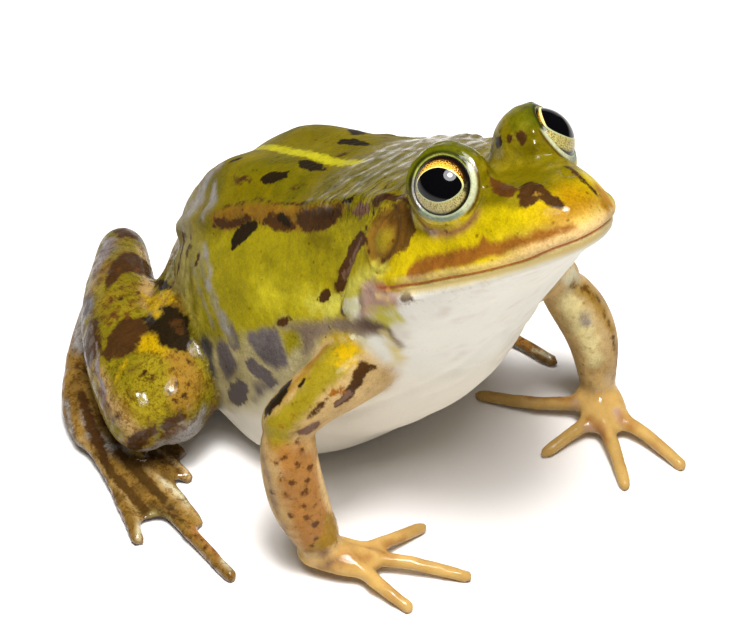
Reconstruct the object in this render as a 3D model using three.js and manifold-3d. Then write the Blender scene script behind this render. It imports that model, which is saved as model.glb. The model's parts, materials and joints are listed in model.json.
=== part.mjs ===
// A sitting pool frog (a European green water frog) as a still, life-size museum model.
// Millimetres, +Z up. The frog faces -Y, with its left side towards +X, and stands on z = 0.
import * as THREE from "three";
import { mergeVertices } from "three/addons/utils/BufferGeometryUtils.js";
import Module from "manifold-3d";

const wasm = await Module();
wasm.setup();

// ---------------------------------------------------------------- driving sizes
const BODY_LENGTH = 64; // snout to vent
const BODY_PITCH = 33.5; // degrees, head up
const SNOUT = { y: -24.9, z: 42.4 }; // tip of the snout above the floor
const GAP = 0.3; // between two nodes that touch
const HEAD_TURN = { yaw: 6, roll: 2, pivot: 27, from: 15, to: 29 }; // to the frog's right, degrees
const EYE = { u: 11.0, side: 4.8, v: 5.2, radius: 3.0 };
const EYE_AXIS = { side: 0.69, u: -0.64, v: 0.33 };
// The lids are a ball behind the eye's. Past their reach along the eye's axis a rod is cut away.
const LID = { radius: 3.8, sunk: 0.45, reach: 1.5, cut: { length: 2.4, radius: 3.5 } };
const TYMPANUM = { u: 18.4, v: 2.4, radius: 2.35, thickness: 1.4, proud: 0.25, ahead: 0.25 };
const DRUM_WELL = 6; // length of the rod that cuts the drum's well
const NOSTRIL = { u: 3.8, side: 1.6, radius: 0.45, raised: 0.1, rim: { radius: 0.85, sunk: 0.64 } };
const GLANDS = [ // ridges of the skin behind the corner of the mouth: [u, v] at both ends
  { from: [22.8, -0.4], to: [26.6, -4.2], radius: 1.0, sunk: 0.45 },
  { from: [28.4, -2.2], to: [29.4, -3.6], radius: 1.0, sunk: 0.6 },
];
// Heights of the mouth's line, where it ends, and how far its back edge runs on below the corner.
const MOUTH = { front: -2.0, corner: -1.9, end: 21.5, lean: 3.4 };
const NECK = 26.5; // where the head is parted from the torso
const WEB = { thickness: 0.6, height: 0.75, from: 0.05 }; // webs between the toes, from the sole out
const BIG = 120; // past the frog on every side, for the solids that only cut

// ---------------------------------------------------------------- small helpers
const vec = (x, y, z) => new THREE.Vector3(x, y, z);
const radians = THREE.MathUtils.degToRad;
const smooth = (x, low, high) => THREE.MathUtils.smoothstep(x, low, high);

// A smooth function through [x, value] pairs: a cubic with the slope of its neighbours at each.
function through(pairs) {
  const slope = pairs.map((_, i) => {
    const a = pairs[Math.max(i - 1, 0)];
    const b = pairs[Math.min(i + 1, pairs.length - 1)];
    return (b[1] - a[1]) / (b[0] - a[0]);
  });
  return (x) => {
    let i = 0;
    while (i < pairs.length - 2 && x > pairs[i + 1][0]) i++;
    const [x0, y0] = pairs[i];
    const [x1, y1] = pairs[i + 1];
    const w = x1 - x0;
    const t = THREE.MathUtils.clamp((x - x0) / w, 0, 1);
    const s = t * t * (3 - 2 * t);
    return (
      y0 * (1 - s) +
      y1 * s +
      slope[i] * w * t * (1 - t) * (1 - t) -
      slope[i + 1] * w * t * t * (1 - t)
    );
  };
}

// Body frame (u back from the snout, side to the left, v towards the back) to the model's frame.
const PITCH = radians(BODY_PITCH);
function bodyPoint(side, u, v) {
  const share = 1 - smooth(u, HEAD_TURN.from, HEAD_TURN.to);
  const yaw = radians(HEAD_TURN.yaw) * share;
  const roll = radians(HEAD_TURN.roll) * share;
  const ahead = HEAD_TURN.pivot - u;
  const s = side * Math.cos(roll) + v * Math.sin(roll);
  const h = v * Math.cos(roll) - side * Math.sin(roll);
  const across = s * Math.cos(yaw) - ahead * Math.sin(yaw);
  const along = HEAD_TURN.pivot - ahead * Math.cos(yaw) - s * Math.sin(yaw);
  return vec(
    across,
    SNOUT.y + along * Math.cos(PITCH) + h * Math.sin(PITCH),
    SNOUT.z - along * Math.sin(PITCH) + h * Math.cos(PITCH),
  );
}
const headDirection = (side, u, v) =>
  bodyPoint(side, u, v).sub(bodyPoint(0, 0, 0)).normalize();

// ---------------------------------------------------------------- solids
function solidFrom(geometry) {
  const bare = new THREE.BufferGeometry();
  bare.setAttribute("position", geometry.getAttribute("position"));
  if (geometry.index) bare.setIndex(geometry.index);
  const merged = mergeVertices(bare, 1e-4);
  const vertProperties = new Float32Array(merged.attributes.position.array);
  const triVerts = new Uint32Array(merged.index.array);
  const made = new wasm.Manifold(
    new wasm.Mesh({ numProp: 3, vertProperties, triVerts }),
  );
  if (made.volume() > 0) return made;
  for (let i = 0; i < triVerts.length; i += 3)
    [triVerts[i + 1], triVerts[i + 2]] = [triVerts[i + 2], triVerts[i + 1]];
  return new wasm.Manifold(
    new wasm.Mesh({ numProp: 3, vertProperties, triVerts }),
  );
}

function geometryFrom(solid) {
  const mesh = solid.getMesh();
  const geometry = new THREE.BufferGeometry();
  geometry.setAttribute(
    "position",
    new THREE.BufferAttribute(new Float32Array(mesh.vertProperties), 3),
  );
  geometry.setIndex(new THREE.BufferAttribute(new Uint32Array(mesh.triVerts), 1));
  geometry.computeVertexNormals();
  return geometry;
}

const joined = (solids) => solids.reduce((all, next) => all.add(next));
const without = (solid, cutters) =>
  cutters.reduce((left, cutter) => left.subtract(cutter), solid);
const largest = (solid) =>
  solid.decompose().reduce((a, b) => (a.volume() > b.volume() ? a : b));

// A closed skin over rings of equal length, with a pole point before and after them.
function skinOver(firstPole, rings, lastPole) {
  const sides = rings[0].length;
  const points = [firstPole, ...rings.flat(), lastPole];
  const last = points.length - 1;
  const index = [];
  for (let j = 0; j < sides; j++) {
    const k = (j + 1) % sides;
    index.push(0, 1 + k, 1 + j);
    for (let i = 0; i < rings.length - 1; i++) {
      const a = 1 + i * sides;
      const b = a + sides;
      index.push(a + j, a + k, b + j, a + k, b + k, b + j);
    }
    const end = 1 + (rings.length - 1) * sides;
    index.push(end + j, end + k, last);
  }
  const geometry = new THREE.BufferGeometry().setFromPoints(points);
  geometry.setIndex(index);
  return solidFrom(geometry);
}

// A limb: ellipses along a smooth path, with round ends.
// stations: [x, y, z, half width, half height]; grow adds to every radius.
function limb(stations, { grow = 0, sides = 12, steps = 3 } = {}) {
  const path = new THREE.CatmullRomCurve3(
    stations.map(([x, y, z]) => vec(x, y, z)),
    false,
    "centripetal",
  );
  const spans = stations.length - 1;
  const at = stations.map((s, i) => [i / spans, s]);
  const wide = through(at.map(([t, s]) => [t, s[3]]));
  const high = through(at.map(([t, s]) => [t, s[4]]));
  const places = [];
  let across = vec(0, 0, 1).cross(path.getTangent(0));
  if (across.length() < 0.5) across = vec(1, 0, 0);
  for (let i = 0; i <= spans * steps; i++) {
    const t = i / (spans * steps);
    const tangent = path.getTangent(t).normalize();
    across = across.clone().addScaledVector(tangent, -across.dot(tangent)).normalize();
    places.push({
      centre: path.getPoint(t),
      tangent,
      across,
      up: tangent.clone().cross(across).normalize(),
      a: wide(t) + grow,
      b: high(t) + grow,
    });
  }
  const ring = (p, shift, scale) =>
    Array.from({ length: sides }, (_, j) => {
      const angle = ((j + 0.5) / sides) * 2 * Math.PI;
      return p.centre
        .clone()
        .addScaledVector(p.tangent, shift)
        .addScaledVector(p.across, p.a * scale * Math.cos(angle))
        .addScaledVector(p.up, p.b * scale * Math.sin(angle));
    });
  const rings = [];
  const start = places[0];
  const end = places[places.length - 1];
  const startReach = Math.min(start.a, start.b);
  const endReach = Math.min(end.a, end.b);
  const capAngles = [0.3, 0.65, 1].map((s) => (s * Math.PI) / 2);
  capAngles
    .slice(0, 2)
    .forEach((q) =>
      rings.push(ring(start, -startReach * Math.cos(q), Math.sin(q))),
    );
  for (const p of places) rings.push(ring(p, 0, 1));
  [capAngles[1], capAngles[0]].forEach((q) =>
    rings.push(ring(end, endReach * Math.cos(q), Math.sin(q))),
  );
  return skinOver(
    start.centre.clone().addScaledVector(start.tangent, -startReach),
    rings,
    end.centre.clone().addScaledVector(end.tangent, endReach),
  );
}

// ---------------------------------------------------------------- trunk: head and torso in one
// Each row is one cross-section: distance behind the snout tip; height of the mid-back and how
// far the back stays level (past 1 it rises to a hump each side of the spine); then half width
// and height of the ridge (brow, then dorsolateral fold), of the side (lip, then flank) and of
// the underside's shoulder; then the height of the throat or belly.
const TRUNK = [
  [0.7, 1.5, 0.8, 1.2, 1.2, 2.0, -0.6, 1.5, -1.5, -1.9],
  [2.5, 2.9, 0.85, 2.8, 2.6, 4.1, -0.7, 3.1, -2.2, -2.7],
  [5, 3.8, 0.9, 3.8, 3.5, 6.0, -0.9, 4.9, -2.8, -3.7],
  [8, 4.2, 0.9, 4.1, 4.1, 7.7, -1.2, 6.5, -3.5, -4.7],
  [12, 4.8, 0.9, 4.6, 4.7, 9.1, -1.5, 7.8, -4.1, -5.9],
  [16, 5.4, 0.9, 5.7, 5.0, 10.1, -1.8, 9.2, -5.2, -8.2],
  [20, 5.9, 0.9, 6.2, 5.0, 10.6, -2.0, 9.8, -6.5, -10.4],
  [24, 6.2, 0.9, 6.5, 5.0, 10.7, -2.4, 10.0, -8.2, -12.8],
  [28, 6.5, 0.85, 6.8, 5.0, 11.2, -3.2, 10.6, -10.6, -15.5],
  [34, 7.0, 0.85, 7.1, 5.1, 12.8, -4.5, 11.7, -13.6, -17.8],
  [40, 8.4, 1.0, 7.5, 5.7, 13.8, -4.8, 11.3, -14.9, -19.0],
  [44, 9.1, 1.05, 7.7, 6.2, 13.8, -4.6, 11.4, -16.5, -20.0],
  [49, 8.5, 1.18, 7.8, 6.2, 12.8, -4.0, 11.1, -16.8, -19.0],
  [54, 6.9, 1.2, 7.0, 5.0, 11.2, -3.2, 9.9, -14.0, -16.0],
  [59, 4.6, 0.9, 4.5, 2.3, 8.2, -2.5, 7.6, -9.4, -11.6],
  [63.5, 0.9, 0.8, 2.2, 0.3, 3.4, -2.2, 2.8, -4, -5.6],
];
const column = (k) => through(TRUNK.map((row) => [row[0], row[k]]));
const [backV, level, ridgeW, ridgeV, sideW, sideV, lowW, lowV, bellyV] = [
  1, 2, 3, 4, 5, 6, 7, 8, 9,
].map(column);
const TRUNK_RINGS = 38;
const STEPS = [3, 3, 5, 5, 4]; // points between the control points of one side, back to belly
const FOLD = { height: 0.5, width: 0.9, from: 21, to: 50 };

function trunkLoop(u) {
  const half = [
    vec(0, backV(u), 0),
    vec(0.6 * ridgeW(u), ridgeV(u) + (backV(u) - ridgeV(u)) * level(u), 0),
    vec(ridgeW(u), ridgeV(u), 0),
    vec(sideW(u), sideV(u), 0),
    vec(lowW(u), lowV(u), 0),
    vec(0, bellyV(u), 0),
  ];
  const other = half.slice(1, 5).reverse().map((p) => vec(-p.x, p.y, 0));
  return new THREE.CatmullRomCurve3([...half, ...other], true, "centripetal");
}

// The point of the left side's skin at a height, or at a half width when asked "across" the back.
function skinPoint(u, value, key = "y") {
  const loop = trunkLoop(u);
  let low = key === "y" ? 0.02 : 0;
  let high = key === "y" ? 0.4 : 0.15;
  for (let i = 0; i < 30; i++) {
    const t = (low + high) / 2;
    const p = loop.getPoint(t);
    const before = key === "y" ? p.y > value : p.x < value;
    if (before) low = t;
    else high = t;
  }
  const p = loop.getPoint(low);
  const tangent = loop.getTangent(low);
  const out = vec(-tangent.y, tangent.x, 0).normalize();
  if (out.x < 0) out.negate();
  return { side: p.x, v: p.y, out };
}

function trunkRing(u, grow) {
  const loop = trunkLoop(u);
  const stops = [];
  STEPS.forEach((n, k) => {
    for (let i = 0; i < n; i++) stops.push((k + i / n) / 10);
  });
  const back = stops.slice(1).map((t) => 1 - t).reverse();
  const raise = FOLD.height * smooth(u, FOLD.from, FOLD.from + 4) *
    (1 - smooth(u, FOLD.to - 4, FOLD.to));
  return [...stops, 0.5, ...back].map((t) => {
    const p = loop.getPoint(t);
    const tangent = loop.getTangent(t);
    const out = vec(-tangent.y, tangent.x, 0).normalize();
    if (out.dot(vec(p.x, p.y - lowV(u), 0)) < 0) out.negate();
    const away = Math.hypot(Math.abs(p.x) - ridgeW(u), p.y - ridgeV(u));
    p.addScaledVector(out, grow + raise * Math.exp(-((away / FOLD.width) ** 2)));
    return bodyPoint(p.x, u, p.y);
  });
}

function trunk(grow = 0) {
  const first = TRUNK[0][0];
  const last = TRUNK[TRUNK.length - 1][0];
  const rings = Array.from({ length: TRUNK_RINGS }, (_, i) => {
    const t = i / (TRUNK_RINGS - 1);
    return trunkRing(first + (last - first) * (0.75 * t + 0.25 * t * t), grow);
  });
  return skinOver(
    bodyPoint(0, -grow, -0.4),
    rings,
    bodyPoint(0, BODY_LENGTH + grow, -2),
  );
}

// A low ridge that lies along the skin of one side.
function ridge(k, { from, to, radius, sunk }) {
  const rows = [0, 0.5, 1].map((t) => {
    const u = THREE.MathUtils.lerp(from[0], to[0], t);
    const skin = skinPoint(u, THREE.MathUtils.lerp(from[1], to[1], t));
    const p = bodyPoint(k * (skin.side - sunk), u, skin.v);
    return [p.x, p.y, p.z, radius, radius];
  });
  return limb(rows, { sides: 8, steps: 1 });
}

// A slab of the body frame: everything inside an outline in (u, v), across the whole width.
function slab(outline, halfWidth = 40) {
  const shape = new THREE.Shape(outline.map(([u, v]) => new THREE.Vector2(u, v)));
  const geometry = new THREE.ExtrudeGeometry(shape, {
    depth: 2 * halfWidth,
    bevelEnabled: false,
  });
  const p = geometry.getAttribute("position");
  for (let i = 0; i < p.count; i++) {
    const q = bodyPoint(p.getZ(i) - halfWidth, p.getX(i), p.getY(i));
    p.setXYZ(i, q.x, q.y, q.z);
  }
  return solidFrom(geometry);
}

// ---------------------------------------------------------------- head
const sides = { right: -1, left: 1 };
const eyeCentre = (k) => bodyPoint(k * EYE.side, EYE.u, EYE.v);
const eyeAxis = (k) => headDirection(k * EYE_AXIS.side, EYE_AXIS.u, EYE_AXIS.v);
const along = (axis) =>
  new THREE.Quaternion().setFromUnitVectors(vec(0, 1, 0), axis);

const ball = (centre, radius, across, down, axis = vec(0, 1, 0)) =>
  solidFrom(
    new THREE.SphereGeometry(radius, across, down)
      .applyQuaternion(along(axis))
      .translate(centre.x, centre.y, centre.z),
  );
const rod = (from, axis, length, radius, end = radius, around = 24) => {
  const middle = from.clone().addScaledVector(axis, length / 2);
  return solidFrom(
    new THREE.CylinderGeometry(end, radius, length, around)
      .applyQuaternion(along(axis))
      .translate(middle.x, middle.y, middle.z),
  );
};

const wholeTrunk = joined([
  trunk(),
  ...GLANDS.flatMap((gland) => Object.values(sides).map((k) => ridge(k, gland))),
]);
const allBetween = (from, to) => slab([[from, -BIG], [from, BIG], [to, BIG], [to, -BIG]]);
const neckBehind = allBetween(NECK + GAP / 2, BIG);
const neckAhead = allBetween(-BIG, NECK - GAP / 2);
const jawRegion = (inset) =>
  slab([
    [-BIG, MOUTH.front - inset],
    [MOUTH.end - inset / 2, MOUTH.corner - inset],
    [MOUTH.end + MOUTH.lean - inset, -40],
    [-BIG, -40],
  ]);

let headSolid = wholeTrunk.intersect(neckAhead);
const lowerJaw = headSolid.intersect(jawRegion(GAP));
headSolid = headSolid.subtract(jawRegion(0));
for (const k of Object.values(sides)) {
  const lids = eyeCentre(k).addScaledVector(eyeAxis(k), -LID.sunk);
  headSolid = headSolid.add(ball(lids, LID.radius, 18, 12, eyeAxis(k)));
}
const eyes = {};
const tympana = {};
for (const [side, k] of Object.entries(sides)) {
  const centre = eyeCentre(k);
  const axis = eyeAxis(k);
  eyes[side] = ball(centre, EYE.radius, 18, 12, axis);
  headSolid = headSolid
    .subtract(ball(centre, EYE.radius + GAP, 20, 14, axis))
    .subtract(
      rod(centre.clone().addScaledVector(axis, LID.reach), axis, LID.cut.length, LID.cut.radius),
    );
  const drum = skinPoint(TYMPANUM.u, TYMPANUM.v);
  const drumAxis = headDirection(k * drum.out.x, -TYMPANUM.ahead, drum.out.y);
  const back = bodyPoint(k * drum.side, TYMPANUM.u, drum.v).addScaledVector(
    drumAxis,
    TYMPANUM.proud - TYMPANUM.thickness,
  );
  headSolid = headSolid.subtract(
    rod(back.clone().addScaledVector(drumAxis, -GAP), drumAxis, DRUM_WELL, TYMPANUM.radius + GAP),
  );
  tympana[side] = rod(back, drumAxis, TYMPANUM.thickness, TYMPANUM.radius);
  const nostril = skinPoint(NOSTRIL.u, NOSTRIL.side, "x");
  const hole = bodyPoint(k * nostril.side, NOSTRIL.u, nostril.v + NOSTRIL.raised);
  const rim = hole.clone().addScaledVector(headDirection(0, 0, 1), -NOSTRIL.rim.sunk);
  headSolid = headSolid
    .add(ball(rim, NOSTRIL.rim.radius, 10, 8))
    .subtract(ball(hole, NOSTRIL.radius, 10, 8));
}

// ---------------------------------------------------------------- limbs
// Rows are [x, y, z, half width, half height] along each bone; x is given for the right side.
const ARM_RIGHT = {
  upper: [
    [-7.5, -6.2, 20.5, 3.2, 3.4],
    [-11.5, -6.0, 19.4, 3.1, 3.2],
    [-15.2, -5.0, 17.8, 2.7, 2.7],
    [-17.6, -4.2, 16.0, 2.4, 2.4],
  ],
  fore: [
    [-17.7, -4.4, 15.0, 2.5, 2.4],
    [-18.2, -5.3, 11.5, 2.7, 2.6],
    [-17.9, -6.3, 7.5, 2.7, 2.5],
    [-17.0, -7.4, 4.0, 2.2, 1.9],
  ],
  palm: [
    [-17.2, -7.0, 2.4, 1.9, 1.6],
    [-15.6, -9.0, 1.8, 2.2, 1.3],
    [-14.0, -10.8, 1.4, 2.1, 1.0],
  ],
  fingers: [
    [[-15.4, -7.4, 1.6], [-13.4, -5.2, 1.15], [-11.8, -2.8, 0.5]],
    [[-14.4, -9.4, 1.5], [-10.8, -10.0, 1.25], [-6.9, -10.2, 0.5]],
    [[-13.8, -10.4, 1.5], [-11.0, -13.8, 1.25], [-8.2, -17.5, 0.5]],
    [[-15.2, -10.4, 1.5], [-15.2, -13.6, 1.25], [-14.7, -16.9, 0.5]],
  ],
};
const ARM_LEFT = {
  upper: [
    [7.5, -6.6, 20.0, 3.2, 3.4],
    [10.4, -6.0, 18.4, 2.8, 2.9],
    [13.0, -5.2, 16.8, 2.5, 2.5],
    [14.8, -5.0, 15.2, 2.3, 2.3],
  ],
  fore: [
    [15.0, -5.4, 14.0, 2.3, 2.3],
    [16.6, -6.4, 11.0, 2.7, 2.6],
    [17.5, -7.6, 7.5, 2.6, 2.4],
    [17.2, -8.6, 4.0, 2.1, 1.9],
  ],
  palm: [
    [17.2, -8.6, 2.4, 1.9, 1.6],
    [16.2, -10.4, 1.8, 2.3, 1.3],
    [15.2, -12.2, 1.4, 2.2, 1.0],
  ],
  fingers: [
    [[15.4, -8.8, 1.6], [12.4, -5.4, 1.15], [9.8, -0.5, 0.5]],
    [[15.0, -10.8, 1.5], [12.0, -10.8, 1.25], [8.8, -10.5, 0.5]],
    [[15.0, -11.6, 1.5], [13.2, -15.0, 1.25], [11.0, -18.6, 0.5]],
    [[16.4, -11.6, 1.5], [16.8, -15.6, 1.25], [16.8, -20.2, 0.5]],
  ],
};
const LEG_RIGHT = {
  thigh: [
    [-1.8, 24.2, 9.4, 4.2, 4.4],
    [-7.4, 20.0, 8.8, 4.5, 4.9],
    [-12.8, 15.8, 8.0, 4.6, 4.9],
    [-17.2, 12.6, 7.0, 3.9, 4.2],
  ],
  shank: [
    [-19.7, 13.7, 6.4, 3.6, 3.9],
    [-17.0, 19.2, 7.0, 3.9, 4.3],
    [-12.1, 26.2, 6.8, 3.9, 4.0],
    [-5.8, 33.9, 5.9, 2.5, 2.8],
  ],
  tarsus: [
    [-5.8, 34.6, 3.4, 1.9, 1.9],
    [-11.5, 31.0, 2.6, 2.0, 1.8],
    [-16.9, 26.6, 2.0, 1.9, 1.6],
  ],
  sole: [
    [-17.5, 25.6, 1.9, 2.1, 1.5],
    [-19.8, 21.8, 1.6, 2.7, 1.2],
    [-21.2, 18.2, 1.4, 2.7, 1.0],
  ],
  toes: [
    [[-18.0, 20.9, 1.2], [-17.2, 16.2, 0.85], [-16.6, 12.4, 0.5]],
    [[-18.9, 20.5, 1.3], [-18.2, 14.4, 0.95], [-18.3, 9.4, 0.5]],
    [[-20.0, 20.0, 1.4], [-20.2, 11.8, 1.05], [-21.5, 4.1, 0.5]],
    [[-20.9, 20.0, 1.4], [-22.3, 9.4, 1.05], [-23.8, -3.3, 0.5]],
    [[-21.8, 20.2, 1.4], [-24.2, 12.4, 0.95], [-26.9, 6.0, 0.5]],
  ],
};
// The left foot stands closer to the body and further back, and its heel lies lower.
const LEFT_FOOT = { inward: 5.4, back: 1.8, heelDown: 1.4, ahead: 6, behind: 34, heel: 26 };
const LEG_LEFT = Object.fromEntries(
  Object.entries(LEG_RIGHT).map(([part, rows]) => {
    const flip = ([x, y, z, ...more]) => {
      const ahead = 1 - smooth(y, LEFT_FOOT.ahead, LEFT_FOOT.behind);
      return [-x - LEFT_FOOT.inward * ahead, y + LEFT_FOOT.back * ahead, z, ...more];
    };
    const keep = ([x, y, z, ...more]) => {
      const down = LEFT_FOOT.heelDown * smooth(y, LEFT_FOOT.heel, LEFT_FOOT.behind);
      return [-x, y, z - down, ...more];
    };
    if (part === "toes") return [part, rows.map((toe) => toe.map(flip))];
    return [part, rows.map(["sole", "tarsus"].includes(part) ? flip : keep)];
  }),
);

const FINGER = 0.68; // half width of a finger
const TOE = 0.72;
const TAPER = { wide: [1.2, 0.12], high: [1.1, 0.1] }; // of a digit: at its root, and less per bone
const digit = (points, radius, grow = 0) =>
  limb(
    points.map(([x, y, z], i) => [
      x, y, z,
      radius * (TAPER.wide[0] - TAPER.wide[1] * i),
      radius * (TAPER.high[0] - TAPER.high[1] * i),
    ]),
    { grow, sides: 7, steps: 2 },
  );

// A web: flat ellipses from one toe to its neighbour, from the sole out to a share of their length.
function web(toeA, toeB, shareA, shareB) {
  const path = (toe) =>
    new THREE.CatmullRomCurve3(toe.map(([x, y, z]) => vec(x, y, z)), false, "centripetal");
  const a = path(toeA);
  const b = path(toeB);
  const rings = Array.from({ length: 7 }, (_, i) => {
    const p = a.getPoint(WEB.from + ((shareA - WEB.from) * i) / 6);
    const q = b.getPoint(WEB.from + ((shareB - WEB.from) * i) / 6);
    p.z = q.z = WEB.height;
    const centre = p.clone().lerp(q, 0.5);
    const half = q.clone().sub(p).multiplyScalar(0.5);
    return Array.from({ length: 10 }, (_, j) => {
      const angle = ((j + 0.5) / 10) * 2 * Math.PI;
      return centre
        .clone()
        .addScaledVector(half, Math.cos(angle))
        .add(vec(0, 0, (WEB.thickness / 2) * Math.sin(angle)));
    });
  });
  const middle = (ring) =>
    ring.reduce((s, p) => s.add(p), vec(0, 0, 0)).multiplyScalar(1 / ring.length);
  return skinOver(middle(rings[0]), rings, middle(rings[6]));
}

const hand = (arm, grow) =>
  joined([limb(arm.palm, { grow }), ...arm.fingers.map((f) => digit(f, FINGER, grow))]);
const WEB_SHARES = [[0.6, 0.5], [0.8, 0.55], [0.85, 0.6], [0.62, 0.85]];
const foot = (leg, grow) =>
  joined([
    limb(leg.sole, { grow }),
    ...leg.toes.map((t) => digit(t, TOE, grow)),
    ...WEB_SHARES.map(([a, b], i) => web(leg.toes[i], leg.toes[i + 1], a, b)),
  ]);

// ---------------------------------------------------------------- nodes, parted by the gap
const torsoSolid = wholeTrunk.intersect(neckBehind);
const torsoGrown = trunk(GAP);
const nodes = new Map();
nodes.set("head", headSolid);
nodes.set("lower_jaw", lowerJaw);
nodes.set("torso", torsoSolid);
for (const side of Object.keys(sides)) {
  nodes.set(`eye_${side}`, eyes[side]);
  nodes.set(`tympanum_${side}`, tympana[side]);
}
for (const side of Object.keys(sides)) {
  const arm = side === "right" ? ARM_RIGHT : ARM_LEFT;
  const leg = side === "right" ? LEG_RIGHT : LEG_LEFT;
  const grown = (rows) => limb(rows, { grow: GAP });
  nodes.set(`upper_arm_${side}`, without(limb(arm.upper), [torsoGrown]));
  nodes.set(`forearm_${side}`, without(limb(arm.fore), [grown(arm.upper), torsoGrown]));
  nodes.set(`hand_${side}`, without(hand(arm, 0), [grown(arm.fore)]));
  nodes.set(`thigh_${side}`, without(limb(leg.thigh), [torsoGrown]));
  nodes.set(`shank_${side}`, without(limb(leg.shank), [torsoGrown, grown(leg.thigh)]));
  nodes.set(
    `tarsus_${side}`,
    without(limb(leg.tarsus), [torsoGrown, grown(leg.thigh), grown(leg.shank)]),
  );
  nodes.set(
    `foot_${side}`,
    without(foot(leg, 0), [grown(leg.thigh), grown(leg.shank), grown(leg.tarsus)]),
  );
}

// ---------------------------------------------------------------- looks and the exported group
const LOOKS = {
  back: { color: 0x7a7a12, roughness: 0.35 },
  throat: { color: 0xded6bd, roughness: 0.4 },
  arm: { color: 0xb08c3a, roughness: 0.4 },
  hand: { color: 0xcfa35c, roughness: 0.4 },
  leg: { color: 0x7d6a22, roughness: 0.4 },
  foot: { color: 0x9a7436, roughness: 0.4 },
  eardrum: { color: 0x7a4a1c, roughness: 0.45 },
  eye: { color: 0x14110a, roughness: 0.08 },
};
const LOOK_OF = [
  [/jaw/, "throat"],
  [/eye/, "eye"],
  [/tympanum/, "eardrum"],
  [/arm/, "arm"],
  [/hand/, "hand"],
  [/thigh|shank/, "leg"],
  [/tarsus|foot/, "foot"],
  [/./, "back"],
];

const floorCut = solidFrom(new THREE.BoxGeometry(200, 200, 20).translate(0, 0, -10));
const frog = new THREE.Group();
for (const [name, solid] of nodes) {
  const trimmed = largest(solid.subtract(floorCut));
  const look = LOOKS[LOOK_OF.find(([pattern]) => pattern.test(name))[1]];
  const mesh = new THREE.Mesh(
    geometryFrom(trimmed),
    new THREE.MeshStandardMaterial({ ...look, metalness: 0 }),
  );
  mesh.name = name;
  frog.add(mesh);
}
// The origin is at the middle of the footprint, on the floor.
const bounds = new THREE.Box3().setFromObject(frog);
const middle = bounds.getCenter(vec(0, 0, 0));
for (const mesh of frog.children) mesh.geometry.translate(-middle.x, -middle.y, -bounds.min.z);
export default frog;
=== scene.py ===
# A sitting pool frog: one wet skin over the whole body, two glass-bright eyes, and a pale studio.
# Lengths are millimetres in the frog's own frame (midline x = 0, floor z = 0, facing -Y) until a
# piece is finished; then it is moved to the model's frame and scaled to metres.
import json

import bpy
import numpy as np
from mathutils import Matrix, Vector, noise
from mathutils.bvhtree import BVHTree

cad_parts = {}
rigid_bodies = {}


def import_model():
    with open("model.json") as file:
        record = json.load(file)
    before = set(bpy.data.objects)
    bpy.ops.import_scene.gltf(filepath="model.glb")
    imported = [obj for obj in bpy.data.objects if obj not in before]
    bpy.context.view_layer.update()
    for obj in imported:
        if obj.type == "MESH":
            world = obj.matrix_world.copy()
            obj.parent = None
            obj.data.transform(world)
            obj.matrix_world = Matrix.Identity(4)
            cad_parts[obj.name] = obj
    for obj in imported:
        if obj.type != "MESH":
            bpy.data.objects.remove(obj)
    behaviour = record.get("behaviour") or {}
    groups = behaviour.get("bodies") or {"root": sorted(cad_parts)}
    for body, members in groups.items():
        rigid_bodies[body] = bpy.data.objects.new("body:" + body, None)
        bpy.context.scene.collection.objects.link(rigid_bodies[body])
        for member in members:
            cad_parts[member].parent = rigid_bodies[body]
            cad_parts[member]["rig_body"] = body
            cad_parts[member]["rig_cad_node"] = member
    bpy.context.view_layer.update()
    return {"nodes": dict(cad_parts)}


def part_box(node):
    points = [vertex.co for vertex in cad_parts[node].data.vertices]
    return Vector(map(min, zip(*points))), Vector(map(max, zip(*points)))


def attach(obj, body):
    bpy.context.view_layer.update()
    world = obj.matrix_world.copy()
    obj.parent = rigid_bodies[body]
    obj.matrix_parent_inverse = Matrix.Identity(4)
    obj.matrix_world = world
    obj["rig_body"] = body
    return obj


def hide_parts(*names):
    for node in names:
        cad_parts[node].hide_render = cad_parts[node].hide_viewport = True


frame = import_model()
bpy.ops.object.select_all(action="DESELECT")

# ---------------------------------------------------------------- driving sizes
PITCH = np.radians(33.5)  # the back rises this much towards the head
SNOUT = np.array([0.0, -24.9, 42.4])
TURN = dict(yaw=np.radians(6), roll=np.radians(2), pivot=27.0, start=15.0, end=29.0)
EYE = dict(side=4.8, u=11.0, v=5.2, radius=3.0)
EYE_AXIS = (0.69, -0.64, 0.33)
PUPIL_TILT = {"right": np.radians(20), "left": np.radians(25)}  # of the slot from across the eye
LID = dict(face=1.64, lip=2.68, edge=3.3, outer=3.75)  # heights along and radii round the eye's axis
DRUM = dict(side=8.55, u=18.3, v=2.4)
MOUTH = dict(v=-1.62, end=19.0)
NOSTRIL = dict(side=2.05, u=3.8, v=3.35)
KNEE = (-19.3, 14.0, 10.0)
VOXEL = 0.41
SWELL = 0.2  # closes the gaps between the body's solids
EYE_SWELL = 0.45  # closes the sockets, so that the lids are cut from one dome
SIDES = {"right": -1, "left": 1}
FOOT_IN = dict(side=5.4, ahead=1.8)  # how much closer to the body the left foot stands
# the pupil: half its length across the eye, half its height below that axis and, for each eye,
# half its height above it, its shift ahead, and how far the iris's gold is lifted
PUPIL_HALF = dict(across=1.97, below=1.42)
PUPIL = {"right": (1.42, 0.0, 0.0), "left": (2.2, 0.3, 0.2)}
CAMERA = dict(place=(-158.98, -170.49, 208.77), aim=(0.1, 4.78, 12.0), lens=163.1, sensor=36)
VIEW = (735, 640)  # pixels across and down
PIXELS = 10.8  # to a millimetre, at the frog
WARTS = dict(count=420, radius=(0.35, 0.7), height=(0.04, 0.13))

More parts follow.
